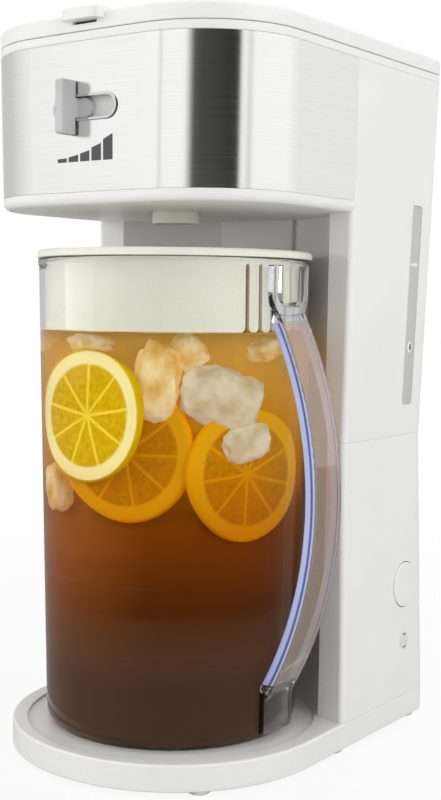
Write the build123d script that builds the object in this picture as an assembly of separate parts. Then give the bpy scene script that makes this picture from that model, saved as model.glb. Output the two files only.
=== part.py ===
"""Countertop iced tea maker: tapered column, round brewing base, steel-fronted head,
hinged top lid, sliding strength selector and a clear three-quart pitcher.

Millimetres. +Z is up, the front faces -Y, and the origin is on the table
directly under the pitcher's axis."""
import os
from math import atan2, cos, pi, radians, sin, sqrt

from build123d import *

os.makedirs("parts", exist_ok=True)

# ---------------------------------------------------------------- driving dimensions
# heights above the table
foot_height = 2.0
base_height = 13.1
lower_housing_height = 144.7
head_clearance_height = 118.7      # waist seam up to the underside of the head
head_chin_height = 5.6             # white strip under the steel band
band_height = 72.0
deck_height = 4.4
lid_seam = 0.3
lid_height = 8.4

# plan of the base
base_half_width = 84.4
base_front = 81.2
base_bow_radius = 340.0
base_corner_radius = 82.3

# plan of the column and head, which flare upwards from the waist
waist_half_width = 83.3
waist_rear = 122.3
waist_front = 35.0
base_rear = 127.6
side_flare = 0.0214                # mm outwards for each mm of height
rear_flare = 0.0556
flange_flare = 0.0105
flange_turn = 14.4                 # degrees that the column's front faces turn inwards
head_front = 71.0
head_front_flare = 0.0129
head_bow_radius = 1158.0
head_corner_radius = 52.4
rear_corner_radius = 8.0
flange_corner_radius = 2.5
chin_radius = 3.0

# bay that the pitcher stands in
bay_radius_floor = 77.5
bay_flare = 0.0114
pilaster_half_width = 24.5
pilaster_proud = 6.0
tray_radius = 75.5
tray_depth = 1.2

wall = 2.5
floor_thickness = 3.0
seam_chamfer = 0.5
deck_chamfer = 0.35
part_clearance = 0.3
snug_clearance = 0.05
far = 300.0                        # reach of a cutting tool, past the whole object
hose_fit = 0.02

# pitcher
pitcher_rim_radius = 71.0
pitcher_foot_radius = 65.4
pitcher_height = 239.8
pitcher_wall = 2.4
pitcher_floor = 3.0
pitcher_foot_round = 7.0
rim_bead_height = 3.5
rim_bead_proud = 0.6
lip_centre = 62.0                  # pouring lip, opposite the handle
lip_radius = 17.0
lip_depth = 27.0

# pitcher lid
jug_lid_thickness = 4.0
jug_lid_skirt_depth = 36.7
jug_lid_wall = 1.8
strainer_slot = 2.1
strainer_pitch = 6.6               # degrees
strainer_slots = 8
strainer_middle = 91.7             # degrees round from the front
strainer_top_margin = 3.0
drip_hole_radius = 13.0
drip_dish_radius = 42.0
drip_dish_depth = 2.2

# handle of the pitcher
handle_top_drop = 26.0             # rim down to where the strap leaves the wall
handle_bottom_rise = 21.0          # pitcher foot up to where the strap joins the wall
handle_reach = 95.6                # strap's outer face from the pitcher axis
handle_middle_height = 125.0       # above the pitcher foot
handle_width = 25.0
handle_thickness = 6.2
handle_rib = 3.2
handle_channel_depth = 3.4
yoke_half_width = 15.4
yoke_height = 25.5
yoke_bar = 5.0
yoke_proud = 3.4
heel_height = 20.0
heel_proud = 3.0

# steel band and selector
band_thickness = 0.8
band_gap = 0.12
band_end = 37.3                    # how far back the band's ends reach
band_end_radius = 3.0
slot_length = 37.8
slot_height = 10.2
slot_rise = 40.3                   # selector's centre line above the band's lower edge
bezel_wall = 0.7
bezel_rim = 0.6
bezel_proud = 0.6
slug_length = 22.0
slug_recess = 1.1
grip_width = 5.0
grip_height = 26.0
grip_proud = 10.2
shutter_thickness = 1.2
shutter_half_height = 8.0
shutter_margin = 1.2
rail_thickness = 3.0
rail_lip = 1.8
rail_half_length = 36.0
strength_gate_width = 18.0
strength_gate_height = 24.0
strength_gate_thickness = 1.5
strength_gate_neck = 8.0

# brew basket
basket_top_radius = 58.0
basket_bottom_radius = 46.0
basket_wall = 2.0
basket_flange = 3.4
basket_flange_thickness = 1.5
basket_cone_height = 5.0
basket_depth = 66.0
outlet_radius = 12.25
outlet_wall = 2.4
outlet_drop = 6.0                  # outlet's end below the underside of the head
outlet_clearance = 0.75
screen_thickness = 1.0
screen_hole_radius = 2.0
screen_rise = 3.0
bypass_port_height = 7.0
bypass_port_width = 9.0

# top lid and its hinge
lid_wall = 2.4
lid_edge_radius = 2.0
hinge_pin_radius = 1.5
hinge_pin_length = 18.0
hinge_ear_width = 8.0
hinge_ear_centre = 58.0
hinge_running_clearance = 0.06
ear_notch_gap = 0.8
tab_width = 24.0
tab_reach = 5.4
tab_rise = 1.8
tab_thickness = 5.6
tab_corner_radius = 4.0
tab_scoop_depth = 2.6
tab_scoop_height = 1.4
tab_scoop_inset = 4.4
shower_radius = 28.0
shower_depth = 8.0
shower_hole_radius = 1.4
shower_holes = 8
panel_thickness = 1.4
duct_width = 14.0
duct_wall = 1.2

# water path
riser_offset = 93.0                # riser tube behind the pitcher axis
riser_radius = 5.0
riser_bore = 3.6
grommet_radius = 8.0
grommet_thickness = 2.0
hose_wall = 2.0
hose_bend_radius = 22.0
tank_outlet_radius = 5.0
tank_outlet_bore = 3.6
stub_length = 12.0
valve_radius = 7.5
valve_length = 18.0
clamp_height = 5.0
clamp_thickness = 1.0

# heater
heater_path_radius = 101.0
heater_width = 18.0
heater_height = 16.0
heater_sweep = 41.0                # degrees each side of straight back
stub_angle = 23.0                  # where its two hose stubs stand
heater_floor_gap = 17.0
thermostat_radius = 8.0
thermostat_height = 8.0
fuse_radius = 2.5
fuse_length = 18.0

# power button, switch and pilot light
button_radius = 12.25
button_gap = 0.45
button_height = 76.7               # centre above the table
button_depth = 101.4
button_proud = 0.8
button_travel = 2.0
button_crown = 0.6
button_stem_radius = 3.0
collar_wall = 2.0
switch_width = 16.0
switch_height = 22.0
switch_length = 18.0
switch_flange = 2.0
spring_wire = 0.45
spring_turns = 3.0
pilot_height = 45.4
pilot_radius = 4.5
pilot_proud = 0.3
pilot_flange = 1.5
lamp_radius = 2.5
lamp_length = 14.0

# water window
window_width = 10.9
window_height = 109.0
window_bottom_rise = 17.1          # above the waist seam
window_bottom_front = 96.0         # front edge at the bottom
window_lean = 5.4                  # how much further back its top is
window_corner_radius = 1.6
window_recess = 0.5
window_margin = 2.5
window_flange = 2.0
window_gap = 0.12

# feet and screws
foot_radius = 5.6
foot_stem_radius = 2.5
foot_inset = 7.2
front_foot_angle = 48.0
side_foot_depth = 36.0
rear_foot_depth = 114.0
cover_thickness = 2.0
screw_head_radius = 3.4
screw_head_height = 1.2
screw_shank_radius = 1.7
screw_boss_radius = 4.0
cover_screw_circle = 66.0
cover_screw_rear = 104.0
case_screw_length = 10.0
lug_thickness = 3.0
lug_drop = 9.0

# ---------------------------------------------------------------- derived heights
z_base = foot_height
z_plate = z_base + base_height
z_waist = z_plate + lower_housing_height
z_head = z_waist + head_clearance_height
z_band = z_head + head_chin_height
z_deck = z_band + band_height
z_lid = z_deck + deck_height + lid_seam
z_top = z_lid + lid_height
z_tray = z_plate - tray_depth
z_selector = z_band + slot_rise


def half_width(z):
    if z < z_waist:
        return base_half_width + (waist_half_width - base_half_width) * (z - z_plate) / lower_housing_height
    return waist_half_width + side_flare * (z - z_waist)


def rear(z):
    if z < z_waist:
        return base_rear + (waist_rear - base_rear) * (z - z_plate) / lower_housing_height
    return waist_rear + rear_flare * (z - z_waist)


def flange_front(z):
    return waist_front + flange_flare * max(z - z_waist, 0.0)


def bay_radius(z):
    return bay_radius_floor + bay_flare * (z - z_plate)


def front(z):
    return head_front + head_front_flare * (z - z_head)


def save(name, shape):
    solids = [s for s in shape.solids()]
    out = solids[0] if len(solids) == 1 else Compound(children=solids)
    out.label = name
    export_step(out, f"parts/{name}.step")


def at(x, y, z):
    return Location((x, y, z))


# ---------------------------------------------------------------- outlines
def arc(centre, radius, start, end):
    points = []
    for angle in (start, (start + end) / 2, end):
        points.append((centre[0] + radius * cos(angle), centre[1] + radius * sin(angle)))
    return ThreePointArc(*points)


def rounded_corner(before, corner, after, radius):
    corner = Vector(*corner)
    back = (Vector(*before) - corner).normalized()
    ahead = (Vector(*after) - corner).normalized()
    half = radians(back.get_angle(ahead)) / 2
    bisector = (back + ahead).normalized()
    reach = radius * cos(half) / sin(half)
    middle = corner + bisector * (radius / sin(half) - radius)
    return corner + back * reach, middle, corner + ahead * reach


def bowed_outline(width, depth, back, bow, corner, tail, inset=0.0):
    """Flat-backed outline with a bowed front: bow arc, two corner arcs, straight sides and back."""
    centre_y = bow - depth
    corner_x = width - corner
    corner_y = centre_y - sqrt((bow - corner) ** 2 - corner_x ** 2)
    turn = atan2(corner_x, centre_y - corner_y)
    side = width - inset
    end = back - inset
    tail_in = max(tail - inset, snug_clearance)
    edges = [
        arc((0, centre_y), bow - inset, -pi / 2 - turn, -pi / 2 + turn),
        arc((corner_x, corner_y), corner - inset, -pi / 2 + turn, 0),
        Line((side, corner_y), (side, end - tail_in)),
        arc((side - tail_in, end - tail_in), tail_in, 0, pi / 2),
        Line((side - tail_in, end), (tail_in - side, end)),
        arc((tail_in - side, end - tail_in), tail_in, pi / 2, pi),
        Line((-side, end - tail_in), (-side, corner_y)),
        arc((-corner_x, corner_y), corner - inset, pi, 3 * pi / 2 - turn),
    ]
    return Face(Wire(edges))


def base_outline(inset=0.0):
    return bowed_outline(
        base_half_width, base_front, base_rear, base_bow_radius, base_corner_radius, rear_corner_radius, inset
    )


def head_outline(z, inset=0.0):
    outline = bowed_outline(
        half_width(z), front(z), rear(z), head_bow_radius, head_corner_radius, rear_corner_radius, inset
    )
    return at(0, 0, z) * outline


def column_outline(z, inset=0.0):
    """Crescent that wraps the back of the pitcher bay, with turned-in front faces and a flat pilaster."""
    turn = radians(flange_turn)
    along = Vector(-cos(turn), sin(turn))
    inward = Vector(sin(turn), cos(turn))
    side = half_width(z) - inset
    end = rear(z) - inset
    tail = max(rear_corner_radius - inset, snug_clearance)
    bay = bay_radius(z) + inset
    on_face = Vector(half_width(z), flange_front(z)) + inward * inset
    outer = on_face + along * (inset * (1 + sin(turn)) / cos(turn))
    dot = on_face.dot(along)
    inner = on_face + along * (-dot - sqrt(dot ** 2 - on_face.dot(on_face) + bay ** 2))
    corner_radius = max(flange_corner_radius - inset, snug_clearance * 4)
    start, middle, finish = rounded_corner(
        (side, end), (outer.X, outer.Y), (inner.X, inner.Y), corner_radius
    )
    pilaster = pilaster_half_width - inset
    pilaster_y = bay_radius(z) - pilaster_proud + inset
    step_y = sqrt(bay ** 2 - pilaster ** 2)
    inner_angle = atan2(inner.Y, inner.X)
    step_angle = atan2(step_y, pilaster)
    edges = [
        Line((start.X, start.Y), (side, end - tail)),
        arc((side - tail, end - tail), tail, 0, pi / 2),
        Line((side - tail, end), (tail - side, end)),
        arc((tail - side, end - tail), tail, pi / 2, pi),
        Line((-side, end - tail), (-start.X, start.Y)),
        ThreePointArc((-start.X, start.Y), (-middle.X, middle.Y), (-finish.X, finish.Y)),
        Line((-finish.X, finish.Y), (-inner.X, inner.Y)),
        arc((0, 0), bay, pi - inner_angle, pi - step_angle),
        Line((-pilaster, step_y), (-pilaster, pilaster_y)),
        Line((-pilaster, pilaster_y), (pilaster, pilaster_y)),
        Line((pilaster, pilaster_y), (pilaster, step_y)),
        arc((0, 0), bay, step_angle, inner_angle),
        Line((inner.X, inner.Y), (finish.X, finish.Y)),
        ThreePointArc((finish.X, finish.Y), (middle.X, middle.Y), (start.X, start.Y)),
    ]
    return at(0, 0, z) * Face(Wire(edges))


def column(bottom, top, inset=0.0):
    return loft([column_outline(bottom, inset), column_outline(top, inset)], ruled=True)


def column_with_soft_ends(bottom, top, low_edge, high_edge):
    """Column whose outer edges are chamfered where it meets its neighbours."""
    levels = [(bottom, low_edge), (bottom + low_edge, 0.0), (top - high_edge, 0.0), (top, high_edge)]
    steps = [level for index, level in enumerate(levels) if index == 0 or level[0] > levels[index - 1][0]]
    return loft([column_outline(z, inset) for z, inset in steps], ruled=True)


def plate_with_soft_edges(outline, thickness, low_edge, high_edge):
    """Upright plate over an outline, with its lower and upper edges chamfered."""
    levels = [(0.0, low_edge), (low_edge, 0.0), (thickness - high_edge, 0.0), (thickness, high_edge)]
    steps = [level for index, level in enumerate(levels) if index == 0 or level[0] > levels[index - 1][0]]
    return loft([at(0, 0, z) * outline(inset) for z, inset in steps], ruled=True)


def head(bottom, top, inset=0.0):
    return loft([head_outline(bottom, inset), head_outline(top, inset)], ruled=True)


def upright(x, y, bottom, top, radius):
    return at(x, y, (bottom + top) / 2) * Cylinder(radius, top - bottom)


def crosswise(start, end, y, z, radius):
    return at((start + end) / 2, y, z) * Rot(0, 90, 0) * Cylinder(radius, abs(end - start))


def block(x0, x1, y0, y1, z0, z1):
    return at((x0 + x1) / 2, (y0 + y1) / 2, (z0 + z1) / 2) * Box(x1 - x0, y1 - y0, z1 - z0)


def tube(x, y, bottom, top, radius, bore):
    return upright(x, y, bottom, top, radius) - upright(x, y, bottom, top, bore)


def mirrored(points):
    return [(side * x, y) for x, y in points for side in (1, -1)]


# ---------------------------------------------------------------- fastener and foot places
foot_circle = base_half_width - foot_inset - tray_depth / 2
foot_spots = mirrored(
    [
        (foot_circle * sin(radians(front_foot_angle)), -foot_circle * cos(radians(front_foot_angle))),
        (base_half_width - foot_inset, side_foot_depth),
        (base_half_width - foot_inset, rear_foot_depth),
    ]
)
cover_screw_angle = 20.0
cover_screw_spots = mirrored(
    [
        (
            cover_screw_circle * sin(radians(cover_screw_angle)),
            -cover_screw_circle * cos(radians(cover_screw_angle)),
        ),
        (cover_screw_circle * sin(radians(cover_screw_angle)), cover_screw_rear),
    ]
)
case_screw_inset = wall + screw_boss_radius + 2.0
case_screw_spots = mirrored(
    [
        (waist_half_width - case_screw_inset, 56.0),
        (waist_half_width - case_screw_inset, 98.0),
    ]
)
strap_angle = 33.0
strap_thickness = 1.5
strap_width = 10.0
strap_foot = 8.0


def around_heater(angle, z):
    """Frame on the heater's centre line, angle degrees from straight back, X pointing outwards."""
    return Rot(0, 0, 90 - angle) * at(heater_path_radius, 0, z)


strap_foot_middle = heater_width / 2 + part_clearance + strap_thickness + strap_foot / 2
strap_screw_places = [
    around_heater(side * strap_angle, 0) * at(
        step * strap_foot_middle, 0, 0
    ) for side in (1, -1) for step in (1, -1)
]


# ---------------------------------------------------------------- base
plate_thickness = tray_depth + wall
z_plate_under = z_plate - plate_thickness
z_cover = z_base + cover_thickness
z_heater = z_plate + heater_floor_gap
z_heater_top = z_heater + heater_height
base_edge_radius = 1.2
screw_hole = screw_shank_radius + snug_clearance


def make_base_shell():
    body = at(0, 0, z_base) * plate_with_soft_edges(base_outline, base_height, seam_chamfer, 0.0)
    rims = body.edges().filter_by_position(Axis.Z, z_plate, z_plate)
    body = fillet(rims, base_edge_radius)
    body -= extrude(at(0, 0, z_base - 1) * base_outline(wall), z_plate_under - z_base + 1)
    tray = upright(0, 0, z_tray, z_plate + 1, tray_radius) - column(z_tray - 1, z_plate + 2)
    body -= tray
    for x, y in foot_spots:
        body += upright(x, y, z_base, z_plate_under + wall / 2, foot_radius)
        body -= upright(x, y, z_base - 1, z_plate_under - 1, foot_stem_radius + snug_clearance)
    for x, y in cover_screw_spots:
        body += upright(x, y, z_cover, z_plate_under + wall / 2, screw_boss_radius)
        body -= upright(x, y, z_cover - 1, z_plate_under, screw_hole)
    for side in (1, -1):
        body += around_heater(side * strap_angle, 0) * upright(
            0, 0, z_plate_under, z_heater, strap_width / 2
        )
    for x, y in case_screw_spots:
        body -= upright(x, y, z_plate_under - 1, z_plate + 1, screw_hole)
    for place in strap_screw_places:
        body -= place * upright(0, 0, z_plate_under - 1, z_plate + 1, screw_hole)
    outside = extrude(at(0, 0, z_base) * base_outline(), base_height + heater_floor_gap)
    return body & outside


def make_bottom_cover():
    body = extrude(at(0, 0, z_base) * base_outline(wall + part_clearance), cover_thickness)
    for x, y in foot_spots:
        body -= upright(x, y, z_base - 1, z_cover + 1, foot_radius + part_clearance)
    for x, y in cover_screw_spots:
        body -= upright(
            x,
            y,
            z_base - 1,
            z_base + screw_head_height + snug_clearance * 2,
            screw_head_radius + part_clearance,
        )
        body -= upright(x, y, z_base - 1, z_cover + 1, screw_hole + snug_clearance)
    return body


def make_feet():
    feet = []
    for x, y in foot_spots:
        pad = upright(x, y, 0, foot_height, foot_radius)
        pad = chamfer(pad.edges().group_by(Axis.Z)[0], foot_height / 4)
        feet.append(pad + upright(x, y, foot_height, z_plate_under - 2, foot_stem_radius))
    return feet


def screw(length):
    return upright(
        0, 0, -screw_head_height, 0, screw_head_radius
    ) + upright(0, 0, 0, length, screw_shank_radius)


def make_cover_screws():
    top = z_base + screw_head_height + snug_clearance
    return [at(x, y, top) * screw(z_plate_under - top - 1) for x, y in cover_screw_spots]


def make_case_screws():
    low = [at(x, y, z_plate_under) * screw(case_screw_length) for x, y in case_screw_spots]
    high = [
        at(x, y, z_waist - lug_drop - lug_thickness) * screw(case_screw_length)
        for x, y in case_screw_spots
    ]
    return low + high


# ---------------------------------------------------------------- lower housing
z_button = button_height
x_button_face = half_width(z_button)
x_button_wall = x_button_face - wall
collar_depth = 1.5
x_collar_end = x_button_wall - collar_depth
button_flange = 1.3
button_flange_thickness = 1.5
x_flange = x_collar_end - part_clearance
x_flange_back = x_flange - button_flange_thickness
switch_gap = 0.8
x_switch = x_flange_back - button_travel - switch_gap
switch_post_radius = 3.5
switch_post_rise = switch_height / 2 + switch_post_radius + 3.0
pilot_hole_clearance = 0.1


def make_lower_housing():
    body = column_with_soft_ends(
        z_plate, z_waist, 0.0, seam_chamfer
    ) - column(z_plate - 1, z_waist + 1, wall)
    outline = column(z_plate, z_waist)
    for x, y in case_screw_spots:
        side = 1 if x > 0 else -1
        lug = block(
            min(x - side * screw_boss_radius, side * half_width(z_waist)),
            max(x - side * screw_boss_radius, side * half_width(z_waist)),
            y - screw_boss_radius,
            y + screw_boss_radius,
            z_waist - lug_drop - lug_thickness,
            z_waist - lug_drop,
        )
        rib = block(
            min(x, side * half_width(z_plate)),
            max(x, side * half_width(z_plate)),
            y - 1,
            y + 1,
            z_plate,
            z_plate + case_screw_length + 1,
        )
        post = upright(x, y, z_plate, z_plate + case_screw_length + 1, screw_boss_radius)
        body += (lug + rib + post) & outline
        body -= upright(x, y, z_waist - lug_drop - lug_thickness - 1, z_waist, screw_hole + snug_clearance)
        body -= upright(x, y, z_plate - 1, z_plate + case_screw_length, screw_hole)
    opening = button_radius + button_gap
    body += crosswise(x_collar_end, x_button_face - 1, button_depth, z_button, opening + collar_wall)
    body -= crosswise(x_collar_end - 1, x_button_face + 5, button_depth, z_button, opening)
    for side in (1, -1):
        z_post = z_button + side * switch_post_rise
        body += crosswise(x_switch, x_button_wall + 1, button_depth, z_post, switch_post_radius)
        body -= crosswise(x_switch - 1, x_button_wall - 1, button_depth, z_post, screw_hole)
    body -= crosswise(
        x_button_wall - 5,
        x_button_face + 5,
        button_depth,
        pilot_height,
        pilot_radius + pilot_hole_clearance,
    )
    return body


# ---------------------------------------------------------------- upper housing
z_head_floor = z_head + wall
z_tank_floor = z_waist + floor_thickness
tank_outlet = (
    -heater_path_radius * sin(radians(stub_angle)), heater_path_radius * cos(radians(stub_angle))
)
heater_outlet = (-tank_outlet[0], tank_outlet[1])
z_ledge_drop = 2.2
z_ledge = z_deck + deck_height - z_ledge_drop
outlet_hole = outlet_radius + outlet_clearance


def side_prism(face, reach=far):
    """Extrudes a shape drawn in Y and Z to both sides."""
    return extrude(Plane.YZ * face, reach, both=True)


def band_side_shape(gap):
    length = band_end - gap + far
    height = band_height - 2 * gap
    shape = RectangleRounded(length, height, band_end_radius - gap)
    return at(band_end - gap - length / 2, z_band + band_height / 2, 0) * shape


def slot_shape(length, height):
    return at(0, z_selector, 0) * SlotOverall(length, height)


def front_prism(face, start, end):
    """Extrudes a shape drawn in X and Z from one depth to another, both measured forwards from the axis."""
    across = Plane((0, -start, 0), x_dir=(1, 0, 0), z_dir=(0, -1, 0))
    return extrude(across * face, end - start, dir=(0, -1, 0))


def window_shape(grow):
    bottom = z_waist + window_bottom_rise
    top = bottom + window_height
    front_low = window_bottom_front
    front_high = front_low + window_lean
    corners = [
        (front_low, bottom),
        (front_low + window_width, bottom),
        (front_high + window_width, top),
        (front_high, top),
    ]
    face = make_face(Polyline(*corners, close=True))
    face = fillet(face.vertices(), window_corner_radius)
    return offset(face, grow) if grow else face


def window_prism(grow):
    return extrude(Plane.YZ * window_shape(grow), 2 * waist_half_width)


def make_upper_housing():
    head_block = head(z_head, z_deck)
    lower_rim = head_block.edges().filter_by_position(Axis.Z, z_head, z_head)
    body = column_with_soft_ends(z_waist, z_deck, seam_chamfer, 0.0) + fillet(lower_rim, chin_radius)
    body -= head(z_head_floor, z_deck + 1, wall) - column(z_head - 1, z_deck + 2)
    body -= column(z_tank_floor, z_deck + 1, wall)
    band_skin = head(z_band, z_deck + 1, -wall) - head(z_band - 1, z_deck + 2, band_thickness)
    body -= band_skin & side_prism(band_side_shape(0))
    body -= front_prism(
        slot_shape(
            slot_length + 2 * (bezel_wall + part_clearance / 3),
            slot_height + 2 * (bezel_wall + part_clearance / 3),
        ),
        head_front / 2,
        head_front + 5,
    )
    body -= upright(0, 0, z_head - 1, z_head_floor + 1, outlet_hole)
    body -= upright(0, riser_offset, z_waist - 1, z_tank_floor + 1, grommet_neck + snug_clearance)
    body += upright(*tank_outlet, z_waist - stub_length, z_waist + 1, tank_outlet_radius)
    body -= upright(*tank_outlet, z_waist - stub_length - 1, z_tank_floor + 1, tank_outlet_bore)
    for x, y in case_screw_spots:
        body += upright(x, y, z_waist - lug_drop, z_waist + 1, screw_boss_radius)
        body -= upright(x, y, z_waist - lug_drop - 1, z_waist + floor_thickness / 3, screw_hole)
    side_skin = column(z_waist, z_deck, -wall) - column(z_waist - 1, z_deck + 1, 2 * wall)
    body -= window_prism(window_gap) & side_skin
    return body


def make_water_window():
    pane = column(z_waist, z_deck, window_recess) - column(
        z_waist - 1, z_deck + 1, wall + window_flange / 2
    )
    flange = column(z_waist, z_deck, wall) - column(z_waist - 1, z_deck + 1, wall + window_flange)
    return (pane & window_prism(0)) + (flange & window_prism(window_margin))


grommet_neck = riser_radius + 1.6


# ---------------------------------------------------------------- top deck, hinge and lid
hinge_radius = lid_height / 2
y_hinge = rear(z_lid) - hinge_radius
z_hinge = z_lid + hinge_radius
tank_rim = 7.0
flange_radius = basket_top_radius + basket_flange


def hinge_bar(radius, centre, length):
    return crosswise(centre - length / 2, centre + length / 2, y_hinge, z_hinge, radius)


def deck_outline(inset):
    return head_outline(z_deck, inset)


def lid_outline(inset):
    return head_outline(z_lid, inset)


def make_top_deck():
    z_surface = z_deck + deck_height
    body = at(0, 0, 0) * plate_with_soft_edges(deck_outline, deck_height, deck_chamfer, deck_chamfer)
    body -= upright(0, 0, z_deck - 1, z_surface + 1, basket_top_radius + 2 * part_clearance)
    body -= upright(0, 0, z_ledge, z_surface + 1, flange_radius + part_clearance)
    tank_mouth = extrude(column_outline(z_deck - 1, tank_rim), deck_height + 2)
    body -= tank_mouth
    for side in (1, -1):
        x = side * hinge_ear_centre
        ear = block(
            x - hinge_ear_width / 2, x + hinge_ear_width / 2,
            y_hinge - hinge_radius, y_hinge + hinge_radius, z_surface - 1, z_hinge
        )
        body += ear + hinge_bar(hinge_radius, x, hinge_ear_width)
        body -= hinge_bar(hinge_pin_radius + snug_clearance, x, hinge_ear_width + 2)
    return body


def make_hinge_pins():
    return [hinge_bar(hinge_pin_radius, side * hinge_ear_centre, hinge_pin_length) for side in (1, -1)]


z_tab_top = z_top + tab_rise
z_tab = z_tab_top - tab_thickness
lid_front = front(z_lid)
y_knuckle = y_hinge - hinge_radius - 5.0


def make_top_lid():
    slab = plate_with_soft_edges(lid_outline, lid_height, deck_chamfer, 0.0)
    top_rim = slab.edges().filter_by_position(Axis.Z, z_top, z_top)
    slab = fillet(top_rim, lid_edge_radius)
    behind = block(-far, far, y_hinge, far, z_lid - 1, z_top + 1)
    body = slab - behind + (hinge_bar(hinge_radius, 0, 2 * waist_half_width + 20) & slab)
    hollow = extrude(head_outline(z_lid, lid_wall), lid_height - lid_wall)
    hollow -= block(-far, far, y_knuckle, far, z_lid - 1, z_top + 1)
    body -= hollow
    for side in (1, -1):
        x = side * hinge_ear_centre
        half = hinge_ear_width / 2 + part_clearance
        body -= block(x - half, x + half, y_hinge - hinge_radius - ear_notch_gap, far, z_lid - 1, z_top + 1)
        body -= hinge_bar(hinge_pin_radius + hinge_running_clearance, x, hinge_pin_length + 1)
    tab = block(
        -tab_width / 2,
        tab_width / 2,
        -lid_front - tab_reach,
        -lid_front + tab_reach,
        z_tab,
        z_tab_top,
    )
    tab = fillet(tab.edges().filter_by(Axis.Z).group_by(Axis.Y)[0], tab_corner_radius)
    tab = fillet(tab.edges().group_by(Axis.Z)[-1], tab_rise * 0.6)
    tab -= hollow
    scoop_half = tab_width / 2 - tab_scoop_inset
    scoop = block(
        -scoop_half,
        scoop_half,
        -lid_front - 1,
        -lid_front + tab_scoop_depth,
        z_tab - tab_scoop_height,
        z_tab,
    )
    return body - scoop + tab


z_panel = z_lid + part_clearance
z_shower = z_panel - shower_depth


def make_lid_panel():
    body = extrude(
        at(0, 0, z_panel - z_lid) * head_outline(z_lid, lid_wall + part_clearance / 2),
        panel_thickness,
    )
    body -= block(-far, far, y_knuckle - part_clearance / 2, far, z_panel - 1, z_top)
    body += upright(0, 0, z_shower, z_panel + panel_thickness, shower_radius)
    body += upright(0, riser_offset, z_shower, z_panel + panel_thickness, grommet_neck)
    duct_top = z_top - lid_wall - snug_clearance
    duct = block(-duct_width / 2, duct_width / 2, 0, riser_offset + duct_width / 2, z_panel, duct_top)
    body += duct
    inside = duct_width / 2 - duct_wall
    body -= block(-inside, inside, duct_wall, riser_offset + inside, z_panel + panel_thickness, z_top)
    body -= upright(
        0, 0, z_shower + panel_thickness, z_panel + panel_thickness, shower_radius - panel_thickness
    )
    body -= upright(0, riser_offset, z_shower - 1, z_panel + panel_thickness + 1, riser_bore)
    ring = shower_radius * 0.6
    for index in range(shower_holes):
        angle = 2 * pi * index / shower_holes
        body -= upright(
            ring * cos(angle),
            ring * sin(angle),
            z_shower - 1,
            z_shower + panel_thickness + 1,
            shower_hole_radius,
        )
    return body


# ---------------------------------------------------------------- band and strength selector
def make_steel_band():
    skin = head(z_band, z_deck) - head(z_band - 1, z_deck + 1, band_thickness)
    band = skin & side_prism(band_side_shape(band_gap))
    grow = 2 * (bezel_wall + part_clearance / 3)
    return band - front_prism(
        slot_shape(slot_length + grow, slot_height + grow), head_front / 2, head_front + 5
    )


depth_band = front(z_selector + slot_height / 2 + bezel_rim) + snug_clearance
depth_inner = front(z_selector) - wall
depth_slug_face = depth_band - slug_recess
depth_shutter = depth_inner - 1.4
depth_shutter_back = depth_shutter - shutter_thickness
slug_end_gap = 0.4
slug_centre = -slot_length / 2 + slug_end_gap + slug_length / 2
selector_travel = slot_length - slug_length - 2 * slug_end_gap
slug_height = slot_height - 2 * slug_end_gap


def make_selector_bezel():
    rim = slot_shape(slot_length + 2 * (bezel_wall + bezel_rim), slot_height + 2 * (bezel_wall + bezel_rim))
    sleeve = slot_shape(slot_length + 2 * bezel_wall, slot_height + 2 * bezel_wall)
    body = front_prism(rim, depth_band, depth_band + bezel_proud)
    body = fillet(body.faces().sort_by(Axis.Y)[0].edges(), bezel_proud / 2)
    body += front_prism(sleeve, depth_shutter + 0.5, depth_band + snug_clearance)
    return body - front_prism(slot_shape(slot_length, slot_height), depth_shutter, depth_band + 5)


def make_strength_knob():
    slug = front_prism(
        at(slug_centre, 0, 0) * slot_shape(slug_length, slug_height), depth_shutter, depth_slug_face
    )
    neck_half = slug_height / 2
    root = depth_band + bezel_proud + part_clearance
    tip = depth_band + grip_proud
    low, high = z_selector - grip_height / 2, z_selector + grip_height / 2
    grip = block(slug_centre - grip_width / 2, slug_centre + grip_width / 2, -tip, -root, low, high)
    grip = fillet(grip.edges().filter_by(Axis.X).group_by(Axis.Y)[0], 1.5)
    grip = fillet(grip.edges().filter_by(Axis.Z).group_by(Axis.Y)[0], 0.8)
    neck = block(
        slug_centre - grip_width / 2, slug_centre + grip_width / 2, -root, -depth_slug_face,
        z_selector - neck_half, z_selector + neck_half
    )
    return slug + neck + grip


def make_slider_shutter():
    left = -slot_length / 2 - selector_travel - shutter_margin
    right = slot_length / 2 + shutter_margin
    return block(
        left, right, -depth_shutter, -depth_shutter_back,
        z_selector - shutter_half_height, z_selector + shutter_half_height
    )


def head_inner_depth(x, z):
    """How far in front of the axis the head's inner face lies."""
    centre = head_bow_radius - front(z)
    corner_x = half_width(z) - head_corner_radius
    corner_y = centre - sqrt((head_bow_radius - head_corner_radius) ** 2 - corner_x ** 2)
    if x <= corner_x:
        return sqrt((head_bow_radius - wall) ** 2 - x ** 2) - centre
    return sqrt((head_corner_radius - wall) ** 2 - (x - corner_x) ** 2) - corner_y


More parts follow.
